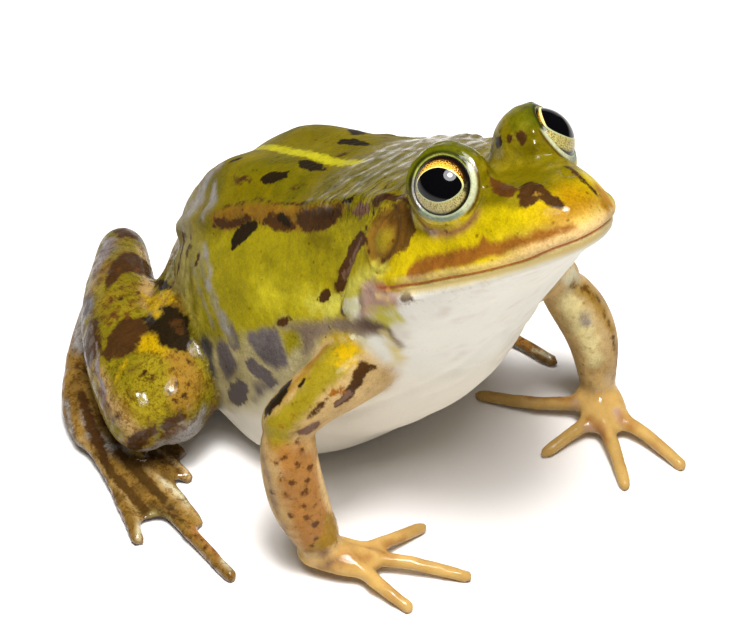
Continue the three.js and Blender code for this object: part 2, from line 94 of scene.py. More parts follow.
# Places in the body's frame (side, u, v), which is set out below.
FOLD_PATH = [
    (6.5, 20, 5.2), (6.8, 26, 5.3), (7.3, 32, 5.3), (7.6, 38, 5.8), (8.3, 45, 5.9), (7.9, 52, 5.0),
    (5.6, 57, 3.6),
]
CREASES = [  # path, depth, width
    ([(8.3, 15.5, 4.4), (8.7, 18.0, 5.4), (9.3, 21.0, 4.4), (10.1, 22.3, 1.6), (10.6, 22.0, -0.6)],
     0.32, 0.4),
    ([(8.9, 22.5, 3.8), (9.8, 24.0, 2.0), (10.4, 25.8, -0.8), (10.8, 27.2, -2.6)], 0.38, 0.5),
    ([(10.6, 26.0, -1.2), (10.9, 27.8, -4.2), (10.9, 28.2, -5.8)], 0.32, 0.4),
]
HUMP = (-4.4, 48.5, 8.4)  # of the pelvis, on the right
HUMP_CORNER = (-6.6, 48.6, 7.8)
SPINE = ([20, 28, 33, 44, 52, 62], [0.2, -0.7, -1.3, -0.5, 0.4, 0.5])  # u, and the stripe's side there
STRIPE_HALF = 0.62


def ramp(x, low, high):
    t = np.clip((np.asarray(x, float) - low) / (high - low), 0, 1)
    return t * t * (3 - 2 * t)


def swell_of(x, middle, half):
    """A bell: one at the middle, and almost nothing past twice the half width."""
    return np.exp(-(((np.asarray(x) - middle) / half) ** 2))


# ---------------------------------------------------------------- the body's frame
def from_body(p):
    """(side, u, v) to (x, y, z): u runs back from the snout, v towards the back."""
    side, u, v = np.moveaxis(np.atleast_2d(np.asarray(p, float)), -1, 0)
    share = 1 - ramp(u, TURN["start"], TURN["end"])
    yaw, roll = TURN["yaw"] * share, TURN["roll"] * share
    ahead = TURN["pivot"] - u
    s = side * np.cos(roll) + v * np.sin(roll)
    h = v * np.cos(roll) - side * np.sin(roll)
    across = s * np.cos(yaw) - ahead * np.sin(yaw)
    along = TURN["pivot"] - ahead * np.cos(yaw) - s * np.sin(yaw)
    return np.stack(
        [
            across,
            SNOUT[1] + along * np.cos(PITCH) + h * np.sin(PITCH),
            SNOUT[2] - along * np.sin(PITCH) + h * np.cos(PITCH),
        ],
        -1,
    )


def to_body(p):
    """(x, y, z) to (side, u, v)."""
    x, y, z = np.asarray(p, float).T
    y, z = y - SNOUT[1], z - SNOUT[2]
    along = y * np.cos(PITCH) - z * np.sin(PITCH)
    h = y * np.sin(PITCH) + z * np.cos(PITCH)
    back = TURN["pivot"] - along
    u = along
    for _ in range(8):
        share = 1 - ramp(u, TURN["start"], TURN["end"])
        yaw, roll = TURN["yaw"] * share, TURN["roll"] * share
        u = TURN["pivot"] - (back * np.cos(yaw) - x * np.sin(yaw))
    s = back * np.sin(yaw) + x * np.cos(yaw)
    return np.stack(
        [s * np.cos(roll) - h * np.sin(roll), u, s * np.sin(roll) + h * np.cos(roll)], -1
    )


def eye_centre(k):
    return from_body((k * EYE["side"], EYE["u"], EYE["v"]))[0]


def head_direction(d):
    out = from_body(d)[0] - from_body((0, 0, 0))[0]
    return out / np.linalg.norm(out)


def eye_axis(k):
    return head_direction((k * EYE_AXIS[0], EYE_AXIS[1], EYE_AXIS[2]))


low, high = (np.array(c) * 1000 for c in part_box("eye_right"))
SHIFT = (low + high) / 2 - eye_centre(-1)
SHIFT[2] = 0.0


def finish_piece(ob, co):
    """Writes the vertices of a piece from the frog's frame to the model's, in metres."""
    ob.data.vertices.foreach_set("co", ((co + SHIFT) / 1000).astype(np.float32).ravel())
    ob.data.update()


# ---------------------------------------------------------------- mesh helpers
def select(ob):
    bpy.ops.object.select_all(action="DESELECT")
    ob.select_set(True)
    bpy.context.view_layer.objects.active = ob


def corners(mesh):
    co = np.empty(len(mesh.vertices) * 3, np.float32)
    mesh.vertices.foreach_get("co", co)
    return co.reshape(-1, 3).astype(float)


def edge_ends(mesh):
    e = np.empty(len(mesh.edges) * 2, np.int32)
    mesh.edges.foreach_get("vertices", e)
    return e.reshape(-1, 2)


def triangles(mesh):
    mesh.calc_loop_triangles()
    t = np.empty(len(mesh.loop_triangles) * 3, np.int32)
    mesh.loop_triangles.foreach_get("vertices", t)
    return t.reshape(-1, 3)


def normals(co, tris):
    n = np.cross(co[tris[:, 1]] - co[tris[:, 0]], co[tris[:, 2]] - co[tris[:, 0]])
    out = np.zeros_like(co)
    for k in range(3):
        for axis in range(3):
            out[:, axis] += np.bincount(tris[:, k], n[:, axis], len(co))
    return out / np.maximum(np.linalg.norm(out, axis=1, keepdims=True), 1e-12)


class Neighbours:
    """Averages a value of each vertex with those of its neighbours."""

    def __init__(self, edges, count):
        self.a, self.b, self.count = edges[:, 0], edges[:, 1], count
        self.many = np.maximum(
            np.bincount(self.a, minlength=count) + np.bincount(self.b, minlength=count), 1
        )

    def mean(self, values):
        cols = []
        for column in values.T:
            total = np.bincount(self.a, column[self.b], self.count)
            total += np.bincount(self.b, column[self.a], self.count)
            cols.append(total / self.many)
        return np.stack(cols, 1)

    def smooth(self, values, times, share):
        for _ in range(times):
            values = values + share[:, None] * (self.mean(values) - values)
        return values


def grain(points, size, seed=0.0):
    """Soft noise from -1 to 1 with features of this size, one value for each point."""
    shift = Vector((seed * 7.3, seed * 3.1, seed * 5.7))
    return np.array([noise.noise(Vector(p) / size + shift) for p in points.tolist()])


def reach_of_outline(points, facing, outline):
    """Distance from each point to an outline drawn on the skin: negative inside it."""
    outline = np.asarray(outline, float)
    middle = outline.mean(0)
    axes = np.linalg.svd(outline - middle)[2]
    nearest = np.argmin(((points - middle) ** 2).sum(1))
    towards = axes[2] * np.sign(axes[2] @ facing[nearest] or 1)
    p, ring = (points - middle) @ axes[:2].T, (outline - middle) @ axes[:2].T
    best, inside = np.full(len(p), 1e9), np.zeros(len(p), bool)
    for a, b in zip(ring, np.roll(ring, -1, 0)):
        d = b - a
        t = np.clip((p - a) @ d / max(d @ d, 1e-9), 0, 1)
        best = np.minimum(best, np.linalg.norm(p - a - t[:, None] * d, axis=1))
        crosses = (a[1] > p[:, 1]) != (b[1] > p[:, 1])
        rise = d[1] if abs(d[1]) > 1e-9 else 1e-9
        inside ^= crosses & (p[:, 0] < a[0] + (p[:, 1] - a[1]) * d[0] / rise)
    aside = ramp(0.15 - facing @ towards, 0, 0.3) + ramp(np.abs((points - middle) @ towards), 2.5, 3.5)
    return np.where(inside, -best, best) + 6 * aside


def reach(points, path):
    """Distance from each point to a tapered stroke, less its radius: negative inside."""
    path = np.asarray(path, float)
    if len(path) == 1:
        return np.linalg.norm(points - path[0, :3], axis=1) - path[0, 3]
    best = np.full(len(points), 1e9)
    for a, b in zip(path[:-1], path[1:]):
        d = b[:3] - a[:3]
        t = np.clip((points - a[:3]) @ d / max(d @ d, 1e-9), 0, 1)
        away = np.linalg.norm(points - a[:3] - t[:, None] * d, axis=1)
        best = np.minimum(best, away - a[3] - t * (b[3] - a[3]))
    return best


# ---------------------------------------------------------------- one skin from the body's solids
FLESH = [n for n in frame["nodes"] if not n.startswith("eye_")]


def swollen_copy(name, swell):
    source = frame["nodes"][name]
    ob = source.copy()
    ob.data = source.data.copy()
    ob.parent = None
    ob.name = f"flesh_{name}"
    bpy.context.scene.collection.objects.link(ob)
    select(ob)
    bpy.ops.object.mode_set(mode="EDIT")
    bpy.ops.mesh.select_all(action="SELECT")
    bpy.ops.mesh.remove_doubles(threshold=1e-6)
    bpy.ops.object.mode_set(mode="OBJECT")
    co = corners(ob.data)
    co += normals(co, triangles(ob.data)) * swell / 1000
    ob.data.vertices.foreach_set("co", co.astype(np.float32).ravel())
    ob.data.materials.clear()
    return ob


parts = [swollen_copy(n, SWELL) for n in FLESH]
parts += [swollen_copy(f"eye_{name}", EYE_SWELL) for name in SIDES]
bpy.ops.object.select_all(action="DESELECT")
for ob in parts:
    ob.select_set(True)
skin = parts[0]
bpy.context.view_layer.objects.active = skin
bpy.ops.object.join()
skin.name = "skin"
skin.data.name = "skin"
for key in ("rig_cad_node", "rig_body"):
    if key in skin:
        del skin[key]
remesh = skin.modifiers.new("one skin", "REMESH")
remesh.mode = "VOXEL"
remesh.voxel_size = VOXEL / 1000
select(skin)
bpy.ops.object.modifier_apply(modifier=remesh.name)


def refine(chosen):
    """Splits the faces that a rule on face centres picks, given in millimetres."""
    mesh = skin.data
    centres = np.empty(len(mesh.polygons) * 3, np.float32)
    mesh.polygons.foreach_get("center", centres)
    picked = chosen(centres.reshape(-1, 3).astype(float) * 1000 - SHIFT)
    mesh.vertices.foreach_set("select", np.zeros(len(mesh.vertices), bool))
    mesh.edges.foreach_set("select", np.zeros(len(mesh.edges), bool))
    mesh.polygons.foreach_set("select", picked)
    bpy.context.tool_settings.mesh_select_mode = (False, False, True)
    bpy.ops.object.mode_set(mode="EDIT")
    bpy.ops.mesh.subdivide(number_cuts=1)
    bpy.ops.object.mode_set(mode="OBJECT")


def by_mouth(width):
    def chosen(p):
        b = to_body(p)
        return (np.abs(b[:, 2] - MOUTH["v"]) < width) & (b[:, 1] < MOUTH["end"] + 2)
    return chosen


def by_lids(low, high):
    def chosen(p):
        found = np.zeros(len(p), bool)
        for k in SIDES.values():
            rel = p - eye_centre(k)
            axial = rel @ eye_axis(k)
            around = np.linalg.norm(rel - axial[:, None] * eye_axis(k), axis=1)
            found |= (axial > 0) & (around > low) & (around < high)
        return found
    return chosen


def by_drums(p):
    b = to_body(p)
    apart = np.stack([np.abs(b[:, 0]) - DRUM["side"], b[:, 1] - DRUM["u"], b[:, 2] - DRUM["v"]], 1)
    return np.linalg.norm(apart, axis=1) < 3.4


refine(by_mouth(1.3))
refine(by_mouth(0.6))
refine(by_lids(2.0, 3.9))
refine(by_lids(2.3, 3.6))
refine(by_drums)
co = corners(skin.data) * 1000 - SHIFT
tris = triangles(skin.data)
web = Neighbours(edge_ends(skin.data), len(co))
print("skin", len(co), "vertices", len(tris), "triangles", flush=True)


def search_tree(names):
    """A tree of the given solids, and the name of the solid that each of its triangles is from."""
    verts, faces, owners = [], [], []
    for name in names:
        mesh = frame["nodes"][name].data
        base = sum(len(v) for v in verts)
        verts.append(corners(mesh) * 1000 - SHIFT)
        faces.append(triangles(mesh) + base)
        owners += [name] * len(faces[-1])
    tree = BVHTree.FromPolygons(
        np.concatenate(verts).tolist(), np.concatenate(faces).tolist(), all_triangles=True
    )
    return tree, owners


def nearest_to(names, points):
    """Distance in millimetres from each point to the given solids."""
    tree, _ = search_tree(names)
    return np.array([tree.find_nearest(p)[3] for p in points.tolist()])


REGIONS = {
    "trunk": ["head", "lower_jaw", "torso", "tympanum_right", "tympanum_left"],
    "upper_arms": ["upper_arm_right", "upper_arm_left"],
    "forearms": ["forearm_right", "forearm_left"],
    "hands": ["hand_right", "hand_left"],
    "thighs": ["thigh_right", "thigh_left"],
    "shanks": ["shank_right", "shank_left"],
    "tarsi": ["tarsus_right", "tarsus_left"],
    "feet": ["foot_right", "foot_left"],
}
away = {name: nearest_to(members, co) for name, members in REGIONS.items()}


def share_of(*names, soft=0.8):
    """How much a vertex belongs to some regions: one inside them, fading past their joints."""
    own = np.min([away[n] for n in names], 0)
    rest = np.min([away[n] for n in REGIONS if n not in names], 0)
    return ramp(rest - own, -soft, soft)


trunk = share_of("trunk")
fine = share_of("hands", "feet")
limbs = 1 - np.maximum(trunk, fine)
ease = 0.5 * (trunk + 0.55 * limbs + 0.06 * fine)
for k in SIDES.values():
    ease *= 0.3 + 0.7 * ramp(np.linalg.norm(co - eye_centre(k), axis=1), 4.3, 6.5)
eased = web.smooth(co, 90, ease)
co = eased + web.smooth(co - eased, 90, ease)
co = co - normals(co, tris) * SWELL * 0.9

# ---------------------------------------------------------------- sculpting
arms = share_of("upper_arms", "forearms", "hands")
hands = share_of("hands")
legs = share_of("thighs", "shanks", "tarsi", "feet")
feet = share_of("tarsi", "feet")


def places(co):
    """Where each vertex lies for the marks: the two sides of the trunk and of the legs are one."""
    own = to_body(co)
    paired = own.copy()
    paired[:, 0] = -np.abs(own[:, 0])
    leg = co.copy()
    left = co[:, 0] > 0
    inward = 1 - ramp(co[:, 1], 6, 34)
    leg[left, 0] = -(co[left, 0] + FOOT_IN["side"] * inward[left] * feet[left])
    leg[left, 1] = co[left, 1] - FOOT_IN["ahead"] * inward[left] * feet[left]
    return {"trunk": paired, "legs": leg, "arms": co, "right": own, "left": own}


# ---------------------------------------------------------------- marks drawn from the camera
# Marks and grooves are drawn as the camera sees them, in pixels of its view: (x, y) for the path
# of a groove or the outline of a mark, (x, y, radius) for a tapered stroke. They are then cast
# onto the body's solids, so that they lie on the frog from every side.
def solid_zone(name):
    if "arm" in name or "hand" in name:
        return "arms"
    trunk_names = ("head", "lower_jaw", "torso", "tympanum", "eye")
    return "trunk" if name.startswith(trunk_names) else "legs"


def unit(vector):
    return vector / np.linalg.norm(vector)


SOLIDS, OWNERS = search_tree(frame["nodes"])
AHEAD = unit(np.subtract(CAMERA["aim"], CAMERA["place"]))
ACROSS = unit(np.cross(AHEAD, (0, 0, 1)))
UPWARDS = np.cross(ACROSS, AHEAD)
FOCAL = CAMERA["lens"] / CAMERA["sensor"] * VIEW[0]  # in pixels
# where to look next, in pixels, when a point lies just outside the frog's outline
NUDGES = [(2, 2), (-2, 2), (2, -2), (-2, -2), (0, 4), (4, 0), (-4, 0), (0, -4), (5, 5), (5, -5),
          (-5, 5), (-5, -5), (8, 0), (0, 8), (-8, 0)]


def seen_at(x, y):
    """The zone and the place that the camera sees at a pixel, or None beside the frog."""
    right, down = x - VIEW[0] / 2, y - VIEW[1] / 2
    ray = AHEAD + (right * ACROSS - down * UPWARDS) / FOCAL
    place, _, face, _ = SOLIDS.ray_cast(Vector(CAMERA["place"]), Vector(ray))
    return None if place is None else (solid_zone(OWNERS[face]), np.array(place))


def cast(points, nudges=NUDGES):
    """The zone that most of the points fall in, and their places there to 0.1 mm."""
    hits = []
    for x, y, *radius in points:
        found = (seen_at(x + dx, y + dy) for dx, dy in [(0, 0), *nudges])
        hit = next((h for h in found if h), None)
        if hit:
            hits.append((*hit, [round(r / PIXELS, 2) for r in radius]))
    zones = [hit[0] for hit in hits]
    zone = max(zones, key=zones.count)
    path = []
    for own, place, radius in hits:
        if own != zone:
            continue
        if zone == "trunk":
            place = to_body(place)
        if zone == "legs":
            place[0] = -abs(place[0])
        path.append([round(float(c), 1) for c in place] + radius)
    return zone, path


GROOVES = [  # depth, width, path
    (-0.2, 0.35, [(128, 360), (122, 372), (115, 388)]),
    (-0.3, 0.4, [(146, 366), (147, 367)]),
    (-0.3, 0.4, [(150, 378), (151, 379)]),
    (-0.3, 0.5, [(135, 392), (137, 393)]),
    (-0.16, 0.4, [(118, 328), (121, 348)]),
    (-0.22, 0.5, [(569, 206), (580, 202)]),
    (-0.14, 0.4, [(530, 187), (541, 187), (553, 191)]),
    (-0.16, 0.35, [(491, 182), (494, 183)]),
    (-0.2, 0.4, [(346, 550), (353, 557), (360, 566)]),
    (-0.16, 0.4, [(368, 547), (378, 552)]),
    (0.36, 0.45, [(97, 462), (114, 484), (132, 502), (142, 513)]),
    (0.34, 0.45, [(118, 458), (128, 466), (149, 493), (173, 507), (188, 523)]),
    (0.3, 0.4, [(152, 464), (165, 474), (176, 481)]),
    (0.3, 0.42, [(350, 540), (360, 542), (371, 547)]),
    (0.3, 0.42, [(359, 551), (368, 560), (376, 569)]),
    (0.2, 0.55, [(340, 418), (375, 405), (420, 388), (465, 365), (500, 333)]),
    (0.16, 0.5, [(430, 396), (465, 380), (495, 358), (515, 338)]),
    (0.2, 0.3, [(404, 214), (413, 226), (430, 233), (450, 232), (468, 224)]),
    (-0.24, 0.65, [(373, 266), (364, 276), (354, 290), (350, 304), (350, 312)]),
    (-0.24, 0.4, [(533, 130), (533, 132)]),
    (-0.2, 0.35, [(535, 144), (535, 146)]),
    (0.26, 0.4, [(572, 383), (588, 379), (602, 378), (613, 383)]),
    (0.24, 0.4, [(576, 376), (590, 372), (604, 371), (613, 375)]),
    (-0.2, 0.45, [(582, 388), (579, 400), (572, 412)]),
    (-0.2, 0.45, [(598, 388), (600, 404), (603, 420)]),
    (-0.2, 0.45, [(608, 386), (616, 402), (626, 414)]),
    (0.12, 0.4, [(482, 154), (495, 161), (510, 166), (528, 168)]),
]
body = to_body(co)
side, u, v = body.T
out = normals(co, tris)
co0 = co.copy()


def push(amount):
    """Moves the skin out along its normals by this many millimetres at each vertex."""
    global co
    co = co + out * amount[:, None]


def crease(points, path, depth, width):
    """A groove along a path, or a raised fold where the depth is negative."""
    d = np.maximum(reach(points, [(*p, 0) for p in path]), 0)
    push(-depth * np.exp(-((d / width) ** 2)))


half = np.abs(side)
flat = np.stack([half, u, v], 1)
in_trunk = trunk
# mouth: a groove, the upper lip over it and the lower lip drawn in beneath
lips = ramp(MOUTH["end"] + 1.5 - u, 0, 2.0) * in_trunk
line = MOUTH["v"] + 0.25 * ramp(3.5 - u, 0, 3) + 0.12 * grain(np.stack([side, u, side * 0], 1), 3.5, 31)
push(lips * -0.26 * swell_of(v, line, 0.17))
push(lips * 0.2 * swell_of(v, line + 0.75, 0.5))
push(lips * -0.16 * swell_of(v, line - 0.5, 0.35))
push(lips * 0.12 * swell_of(v, line - 1.25, 0.5))

# dorsolateral fold: an uneven cord of skin from behind the eye to the rump
wander = grain(co, 1.6, 1)
d = np.maximum(reach(flat, [(*p, 0) for p in FOLD_PATH]), 0)
push(in_trunk * (0.42 + 0.3 * wander) * np.exp(-((d / 0.75) ** 2)))
push(in_trunk * -0.2 * swell_of(d, 1.7, 0.6) * (v < 5.6))

# the skin behind the head: the drum's back edge, the streak's crease and the gland
for path, depth, width in CREASES:
    crease(flat, path, depth, width)

# drums: an oval dish with a raised rim
apart = flat - np.array([DRUM["side"], DRUM["u"], DRUM["v"]])
drum = np.linalg.norm(apart * np.array([0.5, 1.04, 0.96]), axis=1)
push(in_trunk * 0.2 * swell_of(drum, 2.5, 0.3))
push(in_trunk * -0.26 * swell_of(drum, 1.6, 0.7))
push(in_trunk * 0.14 * swell_of(drum, 0.0, 0.5))
push(in_trunk * -0.12 * swell_of(drum, 2.95, 0.2))

# nape: soft cross folds that break up the light; then the hump and dips of back, chin and crown
nape = ramp(u, 14, 19) * ramp(34 - u, 0, 6) * ramp(v, 2.5, 5) * in_trunk
lie = np.stack([side / 2.4, (u - 0.55 * half) / 0.8, v / 3], 1)
push(nape * 0.16 * grain(lie, 1.0, 2))
hump = np.linalg.norm(body - np.array(HUMP), axis=1)
push(in_trunk * 0.4 * swell_of(hump, 0.0, 2.6))
corner = np.linalg.norm(body - np.array(HUMP_CORNER), axis=1)
push(in_trunk * -0.5 * swell_of(corner, 0.0, 2.6))
push(in_trunk * -0.5 * swell_of(np.hypot(side, u - 42.0), 0.0, 3.5) * (v > 5))
push(in_trunk * -0.5 * ramp(12 - u, 0, 7) * ramp(-2.3 - v, 0, 1.6))
push(in_trunk * -0.25 * swell_of(np.hypot(side + 3.5, u - 17.0), 0.0, 2.5) * (v > 3))

# rear flank and belly: slack skin
slack = ramp(u, 44, 52) * ramp(v, -16, -10) * in_trunk
push(slack * 0.16 * grain(np.stack([side / 3, u / 0.9, v / 4], 1), 1.0, 3))
under = ramp(-v, 8, 12) * in_trunk
push(under * 0.12 * grain(np.stack([side / 4, u / 2.2, v / 4], 1), 1.0, 4))

zone_share = {"trunk": in_trunk, "arms": arms, "legs": legs}
here = places(co0)
for depth, width, points in GROOVES:
    zone, path = cast(points, nudges=[])
    if zone == "trunk":
        path = [(-abs(p[0]), p[1], p[2]) for p in path]
    d = np.maximum(reach(here[zone], [(*p, 0) for p in path]), 0)
    push(-depth * zone_share[zone] * np.exp(-((d / width) ** 2)))

# limbs: creases at the joints
for joint, depth in ((("upper_arms", "forearms"), 0.3), (("forearms", "hands"), 0.2),
                     (("upper_arms", "trunk"), 0.3), (("thighs", "shanks"), 0.3),
                     (("thighs", "trunk"), 0.4), (("shanks", "tarsi"), 0.25)):
    gap = away[joint[0]] - away[joint[1]]
    near = np.exp(-((np.minimum(away[joint[0]], away[joint[1]]) / 0.6) ** 2))
    push(-depth * near * np.exp(-((gap / 0.5) ** 2)))

# warts: scattered low grains on the back and flanks
rng = np.random.default_rng(7)
chance = in_trunk + 0.3 * limbs
for i in rng.choice(len(co), WARTS["count"], replace=False, p=chance / chance.sum()):
    if v[i] < -9 or (u[i] < 14 and v[i] < 3):
        continue
    d2 = ((co0 - co0[i]) ** 2).sum(1)
    r = rng.uniform(*WARTS["radius"])
    near = d2 < (3 * r) ** 2
    co[near] += out[near] * (rng.uniform(*WARTS["height"]) * np.exp(-d2[near] / r**2))[:, None]


# lids: the dome over each eye is cut to a face that runs round the opening, with a thin lip
def round_eye(k):
    """Height along the eye's axis, distance from that axis, and the offset from it."""
    rel = co - eye_centre(k)
    axial = rel @ eye_axis(k)
    around = rel - axial[:, None] * eye_axis(k)
    return axial, np.linalg.norm(around, axis=1), around


for k in SIDES.values():
    axial, radial, _ = round_eye(k)
    face = LID["face"] + 0.1 * swell_of(radial, LID["lip"], 0.1)
    face -= 0.22 * ramp(radial, 2.8, LID["edge"])
    face -= 0.8 * ramp(2.45 - radial, 0, 0.3)
    cut = np.maximum(axial - face, 0) * ramp(LID["outer"] - radial, 0, 0.35) * (axial > 0.5)
    co = co - cut[:, None] * eye_axis(k)
    groove = swell_of(radial, 3.52, 0.16) * (axial > 0.2) * ramp(1.9 - axial, 0, 0.6)
    co = co - (0.12 * groove * in_trunk)[:, None] * eye_axis(k)

# nostrils
for k in SIDES.values():
    hole = np.array([NOSTRIL["side"], NOSTRIL["u"], NOSTRIL["v"]])
    d = np.linalg.norm(np.stack([k * side, u, v], 1) - hole, axis=1)
    push(0.14 * swell_of(d, 0.75, 0.3) * in_trunk)
    push(-0.75 * np.exp(-((d / 0.4) ** 2)) * in_trunk)

co = web.smooth(co, 2, np.full(len(co), 0.4))
co[:, 2] = np.maximum(co[:, 2], 0.0)

# ---------------------------------------------------------------- colours of the skin
TONES = {
    "olive": (128, 113, 4),
    "moss": (96, 92, 8),
    "flank": (160, 146, 16),
    "haze": (138, 118, 100),
    "sun": (214, 188, 10),
    "stripe": (192, 182, 26),
    "copper": (146, 106, 30),
    "umber": (76, 48, 20),
    "russet": (100, 60, 22),
    "ink": (40, 29, 12),
    "slate": (112, 102, 102),
    "slate_dark": (78, 73, 70),
    "lilac": (146, 132, 132),
    "mauve": (122, 88, 70),
    "ash": (166, 160, 158),
    "drab": (160, 146, 90),
    "drab_ash": (152, 142, 108),
    "cream": (232, 222, 186),
    "throat": (255, 253, 247),
    "belly": (255, 248, 236),
    "ivory": (220, 216, 176),
    "khaki": (192, 178, 134),
    "rose": (200, 164, 150),
    "dusk": (104, 84, 76),
    "butter": (216, 206, 84),
    "gold": (206, 166, 8),
    "moss_gold": (164, 144, 30),
    "ochre": (166, 126, 44),
    "tan": (190, 156, 98),
    "sand": (230, 196, 140),
    "rust": (156, 98, 34),
    "rust_tan": (176, 122, 62),
    "salmon": (214, 134, 84),
    "lip": (238, 206, 142),
    "dust": (160, 132, 106),
    "lid_pale": (196, 200, 96),
    "lid_green": (84, 94, 8),
    "lid_cream": (204, 208, 172),
    "lid_grey": (136, 150, 126),
    "lid_fold": (152, 108, 66),
    "shank": (146, 130, 22),
    "foot": (152, 116, 52),
    "foot_dark": (84, 58, 22),
    "arm_pale": (240, 222, 162),
    "peach": (246, 202, 152),
    "orange": (190, 134, 8),
    "bark": (108, 74, 26),
    "lime": (198, 184, 36),
    "lip_low": (236, 212, 146),
    "finger": (219, 177, 104),
}
LIT = 1.5  # how much brighter than a white card the light falls on the back


def linear(tone):
    c = np.array(TONES[tone]) / 255
    return np.where(c <= 0.04045, c / 12.92, ((c + 0.055) / 1.055) ** 2.4) / LIT


def mark(layer):
    """A kind of mark: made of a tone, how soft its edge is in millimetres, and its points."""

    def made(tone, soft, *points, only=None):
        return layer, tone, soft, points, only

    return made


wash, patch, spot = mark("wash"), mark("patch"), mark("spot")


def shine(soft, *points, only=None):
    return "shine", None, soft, points, only


FOLD_BAND = [  # the copper ridge along the back, with the blotches on and by it
    wash("copper", 0.35,
        (213, 217), (222, 209), (240, 204), (262, 203), (285, 206), (300, 207), (320, 205),
        (338, 203), (346, 202), (344, 212), (336, 222), (325, 230), (310, 234), (298, 231),
        (290, 229), (278, 229), (266, 225), (254, 223), (240, 227), (226, 229), (214, 228),
    ),
    patch("umber", 0.35,
        (213, 228), (216, 219), (228, 218), (237, 221), (248, 214), (256, 219), (248, 224),
        (238, 227), (226, 230),
    ),
    patch("umber", 0.35,
        (262, 224), (268, 214), (280, 212), (290, 217), (297, 228), (286, 231), (272, 228),
    ),
    patch("umber", 0.35,
        (298, 212), (315, 208), (335, 206), (345, 204), (342, 214), (332, 227), (318, 232),
        (304, 231), (296, 222),
    ),
    patch("umber", 0.3,
        (318, 202, 2), (300, 205, 2), (284, 205, 2), (262, 201, 2.4), (240, 204, 2), (222, 209, 2),
    ),
    spot("ink", 0.25,
        (231, 250), (232, 237), (238, 227), (250, 221), (260, 221), (256, 230), (247, 239),
        (238, 247),
    ),
    spot("ink", 0.3, (275, 216), (283, 213), (291, 220), (290, 228), (282, 225)),
    spot("ink", 0.25, (298, 160), (308, 159), (322, 165), (330, 170), (312, 170), (300, 168)),
    spot("ink", 0.25,
        (258, 182), (264, 174), (276, 170), (289, 170), (286, 178), (276, 182), (264, 184),
    ),
    spot("ink", 0.3, (232, 161, 3), (241, 157, 3)),
    spot("ink", 0.2, (343, 203), (350, 198), (357, 197), (352, 203)),
    spot("umber", 0.6, (234, 177), (243, 175), (250, 180), (243, 184), (236, 183)),
    spot("umber", 0.6, (295, 188, 2.5), (300, 187, 2.5)),
    spot("umber", 0.6, (296, 140, 3), (303, 139, 2.5)),
    patch("umber", 0.6, (338, 157, 3), (350, 153, 2.5)),
]
TEMPLE = [  # behind the eye, round the drum, and the streak down from it
    patch("umber", 0.25,
        (374, 206), (378, 199), (388, 195), (400, 190), (410, 187), (410, 195), (400, 198),
        (388, 202), (378, 208), (374, 211),
    ),
    wash("moss_gold", 0.3, (376, 211, 3), (388, 205, 3.4), (402, 202, 3.4)),
    patch("bark", 0.35,
        (396, 206), (404, 202), (410, 208), (414, 222), (414, 235), (408, 246), (399, 253),
        (391, 258), (395, 246), (400, 232), (398, 218),
    ),
    patch("umber", 0.2,
        (366, 226, 2.2), (365, 240, 2.2), (368, 252, 2.2), (376, 260, 2.2), (386, 262, 2),
        (394, 256, 2),
    ),
    wash("bark", 0.5, (374, 218, 4), (383, 214, 4), (392, 220, 4)),
    patch("umber", 0.3,
        (362, 230), (365, 238), (360, 250), (355, 262), (347, 275), (341, 290), (336, 294),
        (335, 287), (340, 272), (345, 258), (350, 245), (356, 236),
    ),
    spot("mauve", 0.35, (362, 240, 2), (352, 262, 3), (344, 276, 3)),
    patch("mauve", 0.35, (354, 208), (362, 202), (371, 204), (369, 213), (358, 218), (352, 215)),
    spot("ink", 0.2, (373, 213, 2.4)),
]
